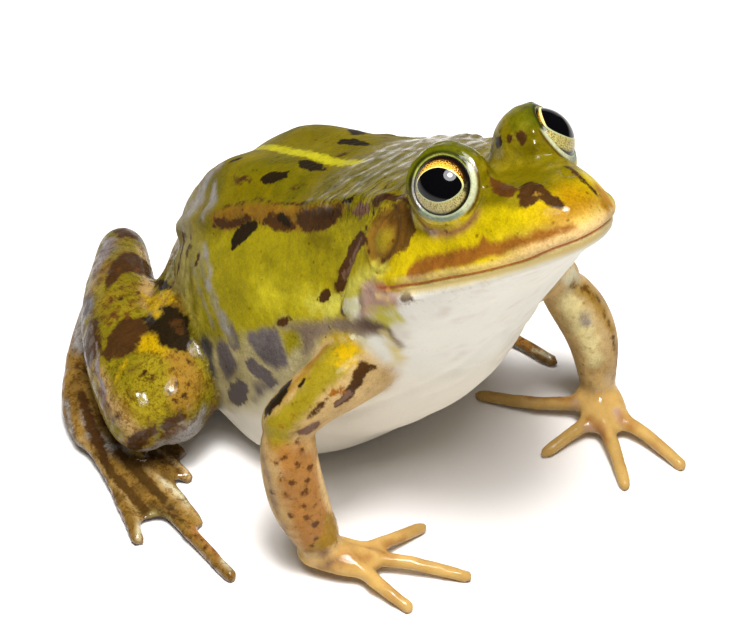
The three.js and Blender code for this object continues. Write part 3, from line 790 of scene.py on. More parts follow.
GLAND_AND_ARMPIT = [  # the pale gland, the rosy corner of the mouth and the folds above the arm
    wash("butter", 0.6,
        (378, 264), (366, 267), (356, 273), (346, 282), (341, 296), (346, 300), (360, 296),
        (366, 285), (378, 276), (388, 268),
    ),
    wash("butter", 0.35, (366, 276, 4), (356, 284, 5), (350, 298, 5)),
    patch("ivory", 0.5, (344, 298), (342, 310), (348, 318), (356, 316), (360, 306), (356, 298)),
    spot("dusk", 0.3, (340, 300, 1.8), (341, 312, 1.8), (346, 320, 1.8)),
    wash("butter", 0.4,
        (320, 312), (325, 300), (332, 292), (340, 296), (341, 307), (338, 316), (330, 319),
        (323, 318),
    ),
    spot("umber", 0.25, (317, 301), (322, 292), (328, 288), (332, 293), (326, 299), (321, 303)),
    wash("rose", 0.5,
        (364, 284), (370, 279), (380, 283), (388, 289), (397, 296), (399, 305), (390, 311),
        (378, 313), (370, 318), (361, 317), (360, 305), (363, 294),
    ),
    wash("haze", 0.4, (362, 292, 3), (362, 304, 3), (360, 314, 3)),
    wash("salmon", 0.35, (376, 286, 3), (392, 290, 2.6), (402, 287, 2.4)),
    wash("sand", 0.5, (376, 296, 3), (388, 299, 3)),
    wash("butter", 0.4, (372, 306, 3), (384, 309, 3), (394, 308, 2.6)),
    patch("haze", 0.45, (401, 295), (404, 289), (412, 291), (414, 299), (408, 303), (402, 302)),
    wash("haze", 0.5,
        (276, 323), (284, 316), (290, 321), (300, 322), (318, 321), (335, 317), (344, 321),
        (352, 321), (360, 317), (372, 318), (384, 322), (392, 330), (400, 342), (405, 348),
        (398, 350), (390, 342), (384, 336), (372, 334), (362, 334), (350, 332), (338, 330),
        (328, 334), (318, 341), (312, 350), (304, 358), (299, 350), (303, 340), (297, 335),
        (288, 332), (280, 327),
    ),
    wash("dusk", 0.5, (360, 326, 4), (374, 324, 4), (385, 328, 3.6)),
    spot("dusk", 0.5, (366, 326, 2.6), (380, 326, 2.6)),
    spot("ink", 0.15, (331, 327, 2.6)),
    spot("ink", 0.15, (328, 337, 2.2)),
    patch("umber", 0.3, (274, 324), (280, 318), (290, 315), (292, 320), (284, 326), (277, 327)),
    wash("butter", 0.8, (368, 314), (384, 312), (396, 316), (402, 322), (392, 328), (378, 324)),
    wash("ochre", 0.5, (276, 402, 5), (290, 388, 6), (304, 372, 6), (316, 358, 6), (326, 348, 5)),
    wash("gold", 0.4, (326, 341, 4), (338, 336, 4), (350, 339, 4)),
    wash("arm_pale", 0.8, (386, 336, 5), (394, 348, 6), (398, 362, 6)),
    spot("cream", 0.35, (354, 337, 4), (364, 339, 4)),
]
BRIGHT_FLANK = [  # the bright lower flank
    wash("lime", 1.8, (262, 290, 12), (290, 300, 12), (312, 296, 10)),
    wash("butter", 0.8, (312, 308, 6), (322, 300, 5)),
    wash("olive", 1.2, (312, 236, 5), (330, 246, 6), (340, 262, 4)),
    wash("khaki", 0.9, (296, 352, 7), (270, 374, 9), (246, 392, 9), (228, 402, 6)),
    patch("umber", 0.6, (184, 236, 4), (180, 252, 4.5), (178, 268, 4)),
]
FLANK_PATCHES = [  # slate patches at the flank's lower edge
    wash("slate", 0.3,
        (246, 333), (260, 328), (277, 328), (281, 338), (287, 358), (288, 366), (276, 368),
        (264, 363), (255, 351), (247, 341),
    ),
    wash("slate", 0.35, (227, 329), (233, 324), (237, 334), (240, 347), (234, 353), (228, 344)),
    wash("slate", 0.35,
        (220, 337), (228, 345), (233, 356), (239, 365), (235, 376), (227, 379), (221, 368),
        (217, 356), (216, 345),
    ),
    wash("slate_dark", 0.45,
        (199, 338), (208, 335), (213, 348), (216, 360), (220, 374), (222, 388), (223, 403),
        (216, 409), (208, 398), (203, 382), (199, 365),
    ),
    patch("slate", 0.35,
        (228, 392), (231, 384), (238, 379), (246, 382), (249, 391), (246, 400), (240, 406),
        (232, 403),
    ),
    patch("slate", 0.35,
        (245, 361), (251, 356), (261, 365), (270, 372), (278, 383), (271, 388), (260, 379),
        (249, 371),
    ),
    wash("slate", 0.6,
        (256, 386), (268, 379), (280, 383), (291, 379), (284, 391), (273, 402), (262, 412),
        (254, 402),
    ),
    wash("flank", 0.5, (280, 332), (292, 329), (301, 336), (299, 347), (288, 354), (282, 344)),
]
RUMP_SHEEN_AND_FOLDS = [  # the rump: a painted sheen in pale grey over its top, grey folds of slack skin, and dark spots
    # painted sheen: these two pale grey washes stand for light caught on the top of the wet rump
    wash("ash", 0.8,
        (216, 166, 5), (206, 178, 8), (199, 192, 9), (193, 206, 9), (188, 220, 7), (184, 232, 5),
    ),
    wash("ash", 0.6, (214, 182, 5), (212, 200, 5), (205, 214, 5)),
    spot("slate", 0.4, (207, 190, 2.6), (203, 202, 3)),
    spot("slate", 0.5, (193, 222, 3)),
    wash("drab_ash", 0.7,
        (198, 250, 3.4), (203, 270, 4), (209, 290, 4), (216, 308, 4), (224, 326, 4), (232, 340, 3),
    ),
    wash("ash", 0.6, (204, 244, 2.4), (207, 262, 2.6), (211, 276, 2.4)),
    wash("ash", 0.6, (208, 282, 2.4), (216, 300, 2.6), (222, 316, 2.4), (228, 330, 2.4)),
    wash("drab_ash", 0.5, (193, 262, 3), (198, 285, 3), (205, 306, 3), (213, 325, 2.6)),
    wash("olive", 0.8, (190, 270, 4), (193, 292, 4), (197, 312, 4)),
    spot("umber", 0.4, (190, 238, 3)),
    spot("umber", 0.4, (199, 255, 3), (196, 263, 3)),
    patch("umber", 0.4, (190, 245, 4), (187, 252, 4)),
]
SNOUT_AND_LIPS = [  # the head's streaks, the rusty lip and the lids' blotches
    patch("russet", 0.25,
        (490, 190), (491, 183), (500, 183), (512, 186), (519, 190), (511, 195), (498, 194),
        only="right",
    ),
    patch("umber", 0.25,
        (519, 202), (518, 191), (523, 185), (531, 182), (539, 185), (546, 190), (553, 194),
        (560, 199), (565, 204), (560, 208), (552, 205), (545, 201), (537, 198), (533, 203),
        (525, 206), only="right",
    ),
    spot("ink", 0.25, (520, 188, 1.6), (527, 184, 1.8), (535, 184, 1.6), only="right"),
    spot("ochre", 0.3, (533, 192, 2.2), (539, 195, 2), only="right"),
    patch("umber", 0.25,
        (567, 165, 2.6), (574, 170, 3.2), (581, 176, 3.4), (589, 184, 3.2), (597, 193, 2.6),
        only="left",
    ),
    wash("rust", 0.3,
        (407, 277), (408, 268), (415, 261), (428, 256), (440, 253), (452, 250), (462, 248),
        (472, 246), (479, 242), (483, 233), (486, 238), (482, 260), (475, 263), (458, 268),
        (440, 272), (425, 276), (414, 280),
    ),
    wash("rust", 0.3,
        (483, 236), (492, 243), (505, 238), (520, 235), (540, 231), (558, 226), (572, 223),
        (578, 227), (560, 235), (540, 242), (520, 248), (505, 253), (490, 257), (480, 260),
        only="right",
    ),
    wash("orange", 0.5, (600, 190, 9), (606, 196, 10), (604, 206, 8), only="left"),
    spot("butter", 0.3,
        (479, 153, 2.2), (492, 158, 2.6), (510, 160, 2.6), (530, 161, 2.4), (547, 161, 2.2),
    ),
    spot("umber", 0.4, (476, 147, 3), (488, 151, 3), (500, 156, 2.2)),
    spot("umber", 0.6, (505, 168, 2.5), (520, 172, 2)),
    spot("ink", 0.25, (498, 141, 5.4), only="left"),
    spot("umber", 0.25, (509, 139, 4), only="left"),
    spot("umber", 0.25, (519, 134, 4.4), (523, 140, 4), only="left"),
]
RIGHT_ARM = [  # the right arm's bars and specks, and painted shade across its hand and between its fingers
    wash("moss_gold", 0.5,
        (326, 345), (338, 341), (352, 345), (362, 350), (354, 362), (345, 373), (335, 384),
        (325, 394), (316, 406), (306, 416), (299, 425), (292, 434), (286, 446), (278, 453),
        (270, 447), (264, 432), (262, 420), (272, 414), (285, 405), (295, 395), (305, 380),
        (315, 365), (321, 355),
    ),
    patch("gold", 0.8,
        (340, 343), (352, 346), (362, 350), (356, 358), (346, 366), (336, 364), (336, 352),
    ),
    patch("umber", 0.25,
        (361, 359), (369, 352), (377, 346), (387, 346), (383, 356), (377, 366), (369, 373),
        (363, 380), (357, 391), (351, 399), (343, 405), (335, 408), (335, 403), (342, 396),
        (349, 384), (355, 372),
    ),
    spot("mauve", 0.3, (352, 392, 2.5), (345, 399, 3), (338, 404, 2.5)),
    patch("umber", 0.3, (328, 398), (320, 402), (312, 409), (307, 419), (316, 415), (323, 408)),
    patch("mauve", 0.3,
        (296, 431), (306, 427), (318, 421), (324, 422), (316, 430), (306, 435), (298, 435),
    ),
    patch("ink", 0.25,
        (293, 378), (284, 385), (274, 397), (264, 409), (262, 417), (270, 413), (279, 404),
        (283, 398), (289, 390),
    ),
    spot("ink", 0.2, (304, 379, 2.6), (301, 385, 2.8)),
    spot("rust", 0.3, (309, 378, 2)),
    spot("rust", 0.3, (282, 427, 2.6)),
    spot("rust", 0.3, (292, 416, 2.2)),
    spot("rust", 0.3, (341, 389, 3), (332, 394, 2)),
    wash("rust_tan", 0.7,
        (276, 446), (300, 440), (314, 446), (320, 462), (320, 480), (324, 500), (330, 520),
        (332, 538), (322, 548), (308, 553), (298, 546), (292, 525), (284, 505), (278, 485),
        (274, 465),
    ),
    wash("dust", 0.5, (265, 440, 3), (267, 470, 3.4), (272, 498, 3.4), (284, 536, 3)),
    wash("sand", 0.5, (324, 458, 5), (328, 480, 6), (334, 505, 6), (338, 525, 4)),
    patch("ochre", 0.5,
        (322, 514), (334, 511), (340, 530), (337, 542), (325, 549), (310, 552), (307, 546),
        (318, 538), (325, 528),
    ),
    *[spot("russet", 0.4, speck) for speck in [
        (303, 450, 3.4), (283, 458, 3), (282, 478, 3.4), (292, 483, 3.4), (308, 481, 3),
        (306, 493, 3.6), (303, 505, 3), (307, 518, 3.4), (315, 525, 3.6), (298, 466, 3),
        (311, 468, 2.6), (314, 546, 3.4), (295, 500, 2.6), (271, 492, 3), (296, 441, 3),
        (318, 538, 3), (290, 515, 2.6), (286, 496, 2.4), (316, 505, 2.6), (275, 463, 2.4),
    ]],
    # painted shade: mauve and tan at the heel of the hand, and tan between its fingers
    wash("mauve", 0.9, (318, 553, 4), (334, 561, 5), (324, 567, 4)),
    wash("rust_tan", 0.8, (344, 556, 5), (356, 560, 4), (366, 556, 4)),
    wash("rust_tan", 0.6, (372, 548, 3), (392, 556, 3)),
    wash("rust_tan", 0.6, (376, 570, 3), (388, 582, 3)),
    wash("rust_tan", 0.6, (384, 545, 2.6), (404, 540, 2.6)),
]
LEFT_ARM = [  # the left arm's freckles, and painted shade under and between the fingers of its hand
    wash("cream", 0.5, (564, 268), (572, 264), (584, 284), (578, 290), (568, 292), (563, 280)),
    wash("arm_pale", 0.8, (566, 300, 9), (580, 322, 11), (590, 342, 11), (594, 362, 9)),
    wash("ochre", 0.6,
        (572, 286, 5), (587, 289, 6), (600, 305, 5), (609, 322, 5), (615, 340, 5), (619, 360, 4),
    ),
    patch("bark", 0.5, (572, 284, 2), (588, 288, 3), (598, 300, 2)),
    spot("bark", 0.5, (604, 312, 2.6), (609, 325, 2.4)),
    spot("bark", 0.5, (613, 338, 2.6), (616, 352, 2.4), (618, 364, 2)),
    wash("lilac", 0.6, (582, 316, 3), (588, 322, 3)),
    # painted shade: tan and pink under and between the fingers
    wash("rust_tan", 0.5, (570, 398, 4), (552, 397, 4), (530, 396, 3)),
    wash("rose", 0.4, (578, 404, 4), (574, 414, 4)),
    wash("rose", 0.4, (590, 428, 4), (596, 438, 3)),
    wash("rose", 0.4, (616, 412, 4), (622, 422, 3)),
    wash("rust_tan", 0.6, (588, 420, 4), (598, 428, 4), (606, 440, 3)),
    wash("rust_tan", 0.6, (622, 418, 4), (632, 430, 3)),
]
THIGH_AND_SHANK = [  # bars, gold marbling and specks of the hind legs
    patch("umber", 0.35,
        (103, 285), (107, 272), (113, 262), (121, 254), (132, 252), (142, 257), (151, 269),
        (153, 283), (143, 275), (132, 271), (124, 273), (116, 281), (108, 290),
    ),
    patch("umber", 0.5,
        (105, 346), (109, 334), (115, 324), (124, 317), (136, 317), (146, 321), (149, 330),
        (143, 341), (136, 351), (128, 355), (118, 357), (108, 361), (99, 356),
    ),
    patch("umber", 0.5, (91, 318), (97, 321), (101, 338), (105, 352), (98, 353), (93, 340)),
    patch("umber", 0.4,
        (113, 229), (122, 223), (132, 226), (141, 235), (147, 247), (138, 241), (128, 237),
        (118, 237),
    ),
    wash("tan", 0.6,
        (139, 245), (148, 253), (153, 268), (150, 292), (150, 306), (146, 319), (140, 306),
        (141, 284), (140, 262),
    ),
    spot("umber", 0.3, (118, 300, 3), (124, 295, 2.4)),
    spot("russet", 0.3, (110, 315, 3), (118, 318, 3)),
    wash("lilac", 0.6,
        (104, 240), (116, 238), (112, 250), (104, 262), (96, 278), (91, 276), (97, 256),
    ),
    wash("slate", 0.4, (79, 311), (83, 300), (92, 293), (94, 304), (90, 315), (83, 317)),
    patch("umber", 0.35,
        (91, 318), (94, 335), (97, 352), (93, 364), (88, 368), (82, 361), (83, 348), (87, 334),
    ),
    wash("ash", 0.5, (70, 350), (73, 330), (80, 312), (85, 318), (82, 335), (78, 354)),
    patch("lilac", 0.35, (96, 330, 2.5), (97, 350, 2.5), (98, 372, 3), (105, 395, 4)),
    patch("umber", 0.4, (76, 360), (82, 364), (88, 374), (84, 380), (78, 372)),
    wash("gold", 0.35,
        (149, 301), (158, 293), (170, 289), (183, 289), (178, 300), (166, 304), (160, 311),
        (158, 321), (151, 319),
    ),
    patch("ink", 0.35, (153, 283), (165, 279), (187, 279), (187, 289), (172, 288), (160, 290)),
    patch("ink", 0.35,
        (158, 308), (172, 304), (187, 299), (190, 320), (191, 345), (184, 351), (172, 349),
        (160, 343), (156, 333), (149, 331), (145, 322), (150, 316), (158, 319), (164, 312),
    ),
    spot("umber", 0.5, (176, 322, 5), (180, 330, 4)),
    wash("gold", 0.35,
        (140, 338), (150, 333), (158, 337), (161, 346), (171, 350), (166, 357), (154, 353),
        (146, 353), (139, 351),
    ),
    wash("ochre", 0.7,
        (164, 352), (190, 351), (197, 370), (199, 392), (195, 407), (176, 411), (166, 400),
        (162, 380),
    ),
    wash("tan", 0.7, (100, 376, 6), (106, 392, 7), (114, 408, 8), (126, 424, 8), (140, 438, 7)),
    wash("moss_gold", 0.7,
        (140, 356), (160, 354), (168, 366), (168, 390), (166, 408), (155, 420), (142, 424),
        (133, 410), (129, 396), (133, 380), (140, 368),
    ),
    spot("umber", 0.3, (140, 377, 3.4), (145, 373, 2.6)),
    spot("umber", 0.3, (153, 378, 3.4)),
    *[spot("umber", 0.4, speck) for speck in [
        (160, 362, 2.6), (172, 368, 2.4), (178, 385, 2.8), (184, 372, 2.4), (183, 396, 2.8),
        (170, 392, 2.4), (175, 352, 2.4), (168, 380, 2.4), (190, 384, 2.4), (176, 402, 2.6),
        (188, 360, 2.4), (164, 372, 2.4),
    ]],
    *[spot("russet", 0.4, (x, y, r), (x - 1, y + 5, 0.8 * r)) for x, y, r in [
        (112, 296, 2.4), (122, 286, 2.4), (131, 300, 2.6), (138, 292, 2.4), (128, 312, 2.6),
        (116, 308, 2.4), (137, 268, 2.4), (120, 268, 2.2), (110, 322, 2.4),
    ]],
    patch("umber", 0.3,
        (127, 449), (129, 438), (137, 431), (148, 429), (156, 423), (158, 430), (150, 439),
        (144, 447), (134, 451),
    ),
    patch("umber", 0.3,
        (159, 429), (164, 420), (176, 415), (187, 411), (187, 418), (177, 425), (168, 431),
    ),
    wash("ash", 0.6,
        (145, 451), (158, 444), (168, 437), (176, 430), (190, 423), (204, 412), (207, 422),
        (196, 437), (180, 445), (164, 450), (150, 453),
    ),
    patch("mauve", 0.5, (168, 435, 3), (182, 428, 3.5)),
    wash("ash", 0.5, (84, 410, 3), (92, 432, 5), (106, 446, 6), (126, 454, 5)),
    spot("russet", 0.6, (100, 395, 5), (106, 405, 5)),
    spot("umber", 0.6, (118, 418, 4), (104, 424, 4)),
    spot("gold", 0.35, (127, 362, 2.2), (122, 372, 2.4), (117, 382, 2.2)),
]
FOOT_MARKS_AND_PAINTED_LIGHT = [  # the feet: pale tendons, painted shade as dark bands in the grooves between the toes, a painted shadow where the tarsus runs under the shank, dark mottling, and painted highlights in cream on the wet toe tips
    wash("ash", 0.25, (66, 400, 2.2), (70, 425, 2.4), (79, 450, 2.6), (89, 468, 2.4)),
    # painted shadow: a dark strip, widening down the foot, where the tarsus runs under the shank
    patch("umber", 0.35,
        (80, 392, 4), (88, 416, 5.5), (97, 440, 6.5), (105, 462, 5), (112, 476, 3),
    ),
    wash("tan", 0.4,
        (80, 440, 3), (95, 464, 4), (112, 480, 4), (127, 495, 4), (137, 512, 3), (140, 535, 3),
    ),
    # painted highlight: cream on a wet toe tip
    wash("cream", 0.3, (140, 524, 2.4), (139, 536, 2.4)),
    # painted shade: dark bands along the grooves between the toes
    patch("foot_dark", 0.25,
        (100, 458, 4.4), (114, 474, 5), (126, 488, 5), (136, 500, 5), (144, 510, 5),
    ),
    patch("foot_dark", 0.25,
        (118, 452, 5), (132, 466, 5), (148, 484, 5), (162, 498, 5), (176, 510, 4.6), (188, 524, 4),
    ),
    wash("foot_dark", 0.6, (128, 452, 6), (140, 470, 7), (150, 486, 5)),
    wash("foot_dark", 0.5, (150, 505, 4), (164, 514, 4)),
    *[spot("foot_dark", 0.35, speck) for speck in [
        (118, 470, 2.6), (122, 480, 2.4), (134, 476, 2.6), (146, 480, 2.4), (158, 492, 2.6),
        (164, 500, 2.4), (142, 462, 2.6), (176, 504, 2.2), (188, 516, 2.2), (202, 541, 2),
        (214, 553, 2),
    ]],
    wash("drab", 0.5, (140, 508, 4), (155, 514, 4), (168, 518, 3)),
    wash("tan", 0.5, (146, 470, 4), (162, 484, 5), (178, 498, 4), (192, 510, 3), (200, 518, 2.5)),
    # painted highlight: cream along the rim of a wet toe
    wash("cream", 0.3, (160, 478, 2.4), (176, 490, 2.6), (188, 503, 2.4)),
    spot("foot_dark", 0.5, (153, 498, 3.6)),
    spot("foot_dark", 0.5, (168, 511, 3.4), (175, 518, 2.6)),
    spot("foot_dark", 0.5, (128, 484, 3), (136, 490, 2.4)),
    spot("umber", 0.4, (196, 534, 2)),
    spot("umber", 0.4, (206, 548, 2)),
    wash("rust_tan", 0.5, (196, 528, 4), (212, 548, 4), (226, 562, 4)),
    # painted highlight: cream on a wet toe tip
    wash("cream", 0.3, (222, 558, 2.2), (230, 568, 2.2)),
    patch("umber", 0.45, (140, 452, 3), (150, 456, 4.5), (160, 461, 4), (170, 464, 2.4)),
    wash("sand", 0.35, (158, 450, 3), (172, 458, 3), (184, 468, 3), (190, 476, 2.4)),
]
WET_SPOTS = [  # where water stands on the skin and catches the light
    shine(0.3, (533, 131, 3.4), only="left"),
    shine(0.3, (535, 145, 2.6), only="left"),
    shine(0.3, (568, 207, 3), (574, 204, 4), (580, 201, 3), only="right"),
    shine(0.25, (530, 187, 2), (541, 187, 2.4), (553, 190, 2), only="right"),
    shine(0.25, (491, 181, 2.4), (493, 183, 2), only="right"),
    shine(0.3, (562, 172, 2), (574, 178, 2), (586, 187, 2), only="left"),
    shine(0.3, (345, 549, 2.4), (352, 556, 2.4), (358, 564, 2.4)),
    shine(0.3, (369, 548, 2.4), (376, 551, 2.4)),
    shine(0.3, (607, 379, 4), (615, 383, 4)),
    shine(0.3, (596, 392, 3), (602, 402, 3)),
    shine(0.3, (128, 360, 2.4), (122, 372, 2.6), (115, 388, 2.4)),
    shine(0.3, (146, 366, 4)),
    shine(0.3, (150, 378, 4)),
    shine(0.3, (135, 392, 5)),
    shine(0.3, (118, 330, 2.4), (121, 348, 2.4)),
    shine(0.3, (222, 558, 2.4), (230, 568, 2.4)),
    shine(0.3, (140, 520, 2.4), (139, 534, 2.4)),
    shine(0.3, (180, 492, 2.4), (188, 503, 2.4)),
]
DRAWN = [
    *FOLD_BAND, *TEMPLE, *GLAND_AND_ARMPIT, *BRIGHT_FLANK, *FLANK_PATCHES, *RUMP_SHEEN_AND_FOLDS, *SNOUT_AND_LIPS,
    *RIGHT_ARM, *LEFT_ARM, *THIGH_AND_SHANK, *FOOT_MARKS_AND_PAINTED_LIGHT, *WET_SPOTS,
]


def lay(drawn):
    """Casts the marks: zone, layer, tone, softness and path, leaving out any cut down to a line."""
    for layer, tone, soft, points, only in drawn:
        zone, path = cast(points)
        if len(path) > 2 or len(points[0]) == 3:
            yield only or zone, layer, tone, soft, path


MARKS = list(lay(DRAWN))


def blend(base, tone, share):
    return base + np.clip(share, 0, 1)[:, None] * (linear(tone) - base)


g1, g2, g3 = grain(co, 5.0, 11), grain(co, 2.0, 12), grain(co, 0.9, 13)
ground = np.tile(linear("flank"), (len(co), 1))
# trunk
ground = blend(ground, "sun", ramp(36 - u + 2.5 * g1, 0, 12) * ramp(1.5 - v, 0, 5) * 0.7)
ground = blend(ground, "olive", ramp(v + 1.0 * g2, 3.2, 5.6) * ramp(u, 12, 20))
cloudy = ramp(g1 + 0.6 * g2, 0.1, 0.6) * 0.5
ground = blend(ground, "moss", ramp(v + 1.0 * g2, 3.5, 6) * ramp(u, 15, 22) * cloudy)
ground = blend(ground, "drab", ramp(u + 2 * g1, 46, 54) * 0.8)
head = ramp(24 - u, 0, 6)
ground = blend(ground, "sun", head * ramp(4.5 - v, 0, 2.0))
ground = blend(ground, "olive", head * ramp(v - 2.3 - 0.11 * u + 0.4 * g2, -0.4, 0.6))
ground = blend(ground, "moss", head * ramp(v - 2.6 - 0.11 * u + g3, 0, 1.4) * 0.12)
cloudy = ramp(g2 + 0.5 * g3, 0.0, 0.5)
ground = blend(ground, "moss_gold", head * cloudy * ramp(v - 2.0 - 0.11 * u, 0, 1) * 0.6)
ground = blend(ground, "orange", ramp(3.6 - u + 0.6 * g2, 0, 3.0) * ramp(v, -0.3, 0.9) * 0.9)
ground = blend(ground, "peach", swell_of(v, -1.0, 1.15) * ramp(6.5 - u, 0, 5) * 0.9)
belly_line = -8.0 + 4.7 * ramp(30 - u, 0, 8) + 1.0 * g1
ground = blend(ground, "khaki", ramp(-4.0 - v + 0.9 * g2, -0.6, 1.6) * ramp(u, 26, 31) * 0.85)
ground = blend(ground, "cream", ramp(belly_line - 1.5 - v, -2.2, 1.6) * 0.9)
ground = blend(ground, "belly", ramp(belly_line - 3.2 - v, -1.2, 1.6))
throat = ramp(27 - u, 0, 4) * ramp(MOUTH["v"] - 0.25 - v, 0, 0.7)
ground = blend(ground, "throat", throat)
ground = blend(ground, "rose", throat * ramp(g2 + 0.6 * g3, 0.1, 0.9) * 0.22)
# limbs
arm_tone = np.tile(linear("tan"), (len(co), 1))
arm_tone = blend(arm_tone, "sand", 0.4 + 0.5 * g1)
arm_tone = blend(arm_tone, "finger", hands)
arm_tone = blend(arm_tone, "rust_tan", hands * (0.1 + 0.6 * g2))
ground += arms[:, None] * (arm_tone - ground)
leg_tone = np.tile(linear("shank"), (len(co), 1))
leg_tone = blend(leg_tone, "ochre", 0.2 + 0.8 * g2)
leg_tone = blend(leg_tone, "moss", 0.1 + 0.7 * g1)
leg_tone = blend(leg_tone, "bark", ramp(g3 + 0.7 * g2, 0.1, 0.5) * 0.7)
foot_tone = blend(np.tile(linear("foot"), (len(co), 1)), "foot_dark", 0.15 + 0.9 * g2 + 0.6 * g3)
leg_tone += feet[:, None] * (foot_tone - leg_tone)
leg_tone = blend(leg_tone, "ash", ramp(-out[:, 2], 0.25, 0.7) * 0.7)
ground += legs[:, None] * (leg_tone - ground)


def facing(angle, middle, half, soft=14):
    """One while an angle in degrees is within half of the middle, fading outside."""
    off = np.abs((angle - middle + 180) % 360 - 180)
    return ramp(half + soft - off, 0, soft)


# eyelids: a green upper lid with a pale lip, a cream face in front, grey-green below, dark behind
for k in SIDES.values():
    axial, radial, around = round_eye(k)
    above, ahead = head_direction((0, 0, 1)), head_direction((0, -1, 0))
    angle = np.degrees(np.arctan2(around @ above, around @ ahead))
    face = in_trunk * (axial > 0.6) * ramp(3.12 - radial, 0, 0.2)
    dome = in_trunk * (axial > -0.5) * ramp(4.6 - radial, 0, 1.4)
    ground = blend(ground, "lid_green", dome * facing(angle, 110, 60, 30) * 0.7)
    upper = facing(angle, 95, 62)
    front, below, rear = facing(angle, -15, 38), facing(angle, -95, 42), facing(angle, 185, 32)
    ground = blend(ground, "lid_green", face * upper)
    ground = blend(ground, "lid_grey", face * below)
    ground = blend(ground, "ink", face * rear * 0.7)
    ground = blend(ground, "lid_cream", face * front)
    lip = in_trunk * (axial > 0.6) * ramp(2.7 - 0.05 * upper - radial, 0, 0.06)
    shadow = in_trunk * (axial > 0.6) * swell_of(radial, 2.8, 0.12)
    ground = blend(ground, "ink", shadow * upper * 0.8)
    ground = blend(ground, "lid_pale", lip * upper)
    ground = blend(ground, "lid_cream", lip * (1 - upper) * (1 - 0.5 * below) * (1 - rear))
    ground = blend(ground, "ash", lip * rear)
    outer = in_trunk * (axial > 0.1) * swell_of(radial, 3.2, 0.1)
    ground = blend(ground, "umber", outer * front * 0.9)
    fold = in_trunk * (axial > -0.6) * swell_of(radial, 3.95, 0.42)
    ground = blend(ground, "lid_fold", fold * below)
# drum
ground = blend(ground, "ochre", ramp(2.5 - drum, 0, 0.4) * in_trunk)
lower = ramp(DRUM["v"] + 0.9 - v, 0, 1.0) * in_trunk
upper = ramp(v - DRUM["v"] - 0.3, 0, 0.9) * in_trunk
ground = blend(ground, "moss_gold", ramp(1.4 - drum, 0, 0.6) * lower * 0.8)
ground = blend(ground, "rust", ramp(1.9 - drum, 0, 0.5) * upper * 0.6)
ring = swell_of(drum, 1.75, 0.45) * (0.35 + 0.5 * ramp(DRUM["u"] - u, -0.6, 0.8))
ground = blend(ground, "umber", (ring + 0.5 * swell_of(drum, 2.62, 0.12)) * in_trunk)
ground = blend(ground, "bark", swell_of(drum, 2.25, 0.3) * in_trunk * 0.45)

# marks: washes go into the ground; patches and spots keep the distance to their edges
here = places(co)
here["trunk"][:, 1] += np.where(side > 0, 0.9 * grain(flat, 9.0, 21), 0)
here["trunk"][:, 2] += np.where(side > 0, 0.6 * grain(flat, 9.0, 22), 0)
body_out = to_body(co + out * 0.01) - to_body(co)
body_out /= np.linalg.norm(body_out, axis=1, keepdims=True)
paired_out, leg_out = body_out.copy(), out.copy()
paired_out[:, 0] *= -np.sign(side)
leg_out[co[:, 0] > 0, 0] *= -1
facings = {"trunk": paired_out, "legs": leg_out, "arms": out, "right": body_out, "left": body_out}
members = {**zone_share, "right": in_trunk * (side < 0.6), "left": in_trunk * (side > -0.6)}
layers = {}
glint = np.zeros(len(co))
for layer in ("wash", "patch", "spot", "shine"):
    edge = np.full(len(co), 6.0)
    tone = ground.copy()
    for zone, of_layer, name, soft, path in MARKS:
        if of_layer != layer:
            continue
        points, outwards, member = here[zone], facings[zone], members[zone]
        if len(path[0]) == 4:
            s = reach(points, path) / soft
        else:
            s = reach_of_outline(points, outwards, path) / soft
        s += 8 * ramp(0.5 - member, 0, 0.3)
        if layer == "wash":
            ground = blend(ground, name, ramp(0.9 - s - 0.8 * g3 - 0.4 * g2, 0, 1.8))
            continue
        if layer == "shine":
            glint = np.maximum(glint, ramp(1 - s, 0, 1.4))
            continue
        closer = s < edge
        tone[closer] = linear(name)
        edge = np.minimum(edge, s)
    if layer in ("patch", "spot"):
        layers[layer] = (np.clip(edge, -4, 6), tone)
stripe = np.abs(side - np.interp(u, *SPINE)) - STRIPE_HALF
stripe = stripe / 0.45 + 8 * ramp(31 - u, 0, 4) + 8 * (v < 0) + 8 * (1 - in_trunk)
edge, tone = layers["patch"]
tone[stripe < edge] = linear("stripe")
layers["patch"] = (np.minimum(edge, stripe), tone)

pale = ramp(belly_line + 0.6 - v, 0, 2.5) + ramp(27 - u, 0, 4) * ramp(MOUTH["v"] - v, 0, 0.6)
granular = np.clip((1 - pale) * in_trunk + 0.7 * legs + 0.75 * arms - 0.4 * hands, 0.1, 1)
flecked = 0.45 * ramp(v, -6, -1) * in_trunk * ramp(u, 3, 8)
flecked = np.clip(flecked + legs + 0.5 * arms - 0.4 * hands, 0, 1)
wet = 1.8 * nape * ramp(v, 4.4, 5.8)
wet = wet + 0.35 * ramp(14 - u, 0, 8) * ramp(v, 0, 3) + 0.3 * ramp(u, 46, 56)
for k in SIDES.values():
    dome = np.linalg.norm(co - eye_centre(k), axis=1)
    wet = np.maximum(wet, (0.9 if k < 0 else 0.5) * ramp(5.2 - dome, 0, 1))
wet = np.clip(wet * in_trunk + 0.5 * legs + 0.3 * arms + 0.4 * hands + 0.4 * feet, 0, 1) + 3 * glint
mouth_line = v - line
mesh = skin.data


def keep(name, values):
    kind = "FLOAT" if values.ndim == 1 else "FLOAT_COLOR"
    layer = mesh.attributes.new(name, kind, "POINT")
    if values.ndim == 1:
        layer.data.foreach_set("value", values.astype(np.float32))
    else:
        rgba = np.concatenate([values, np.ones((len(values), 1))], 1)
        layer.data.foreach_set("color", rgba.astype(np.float32).ravel())


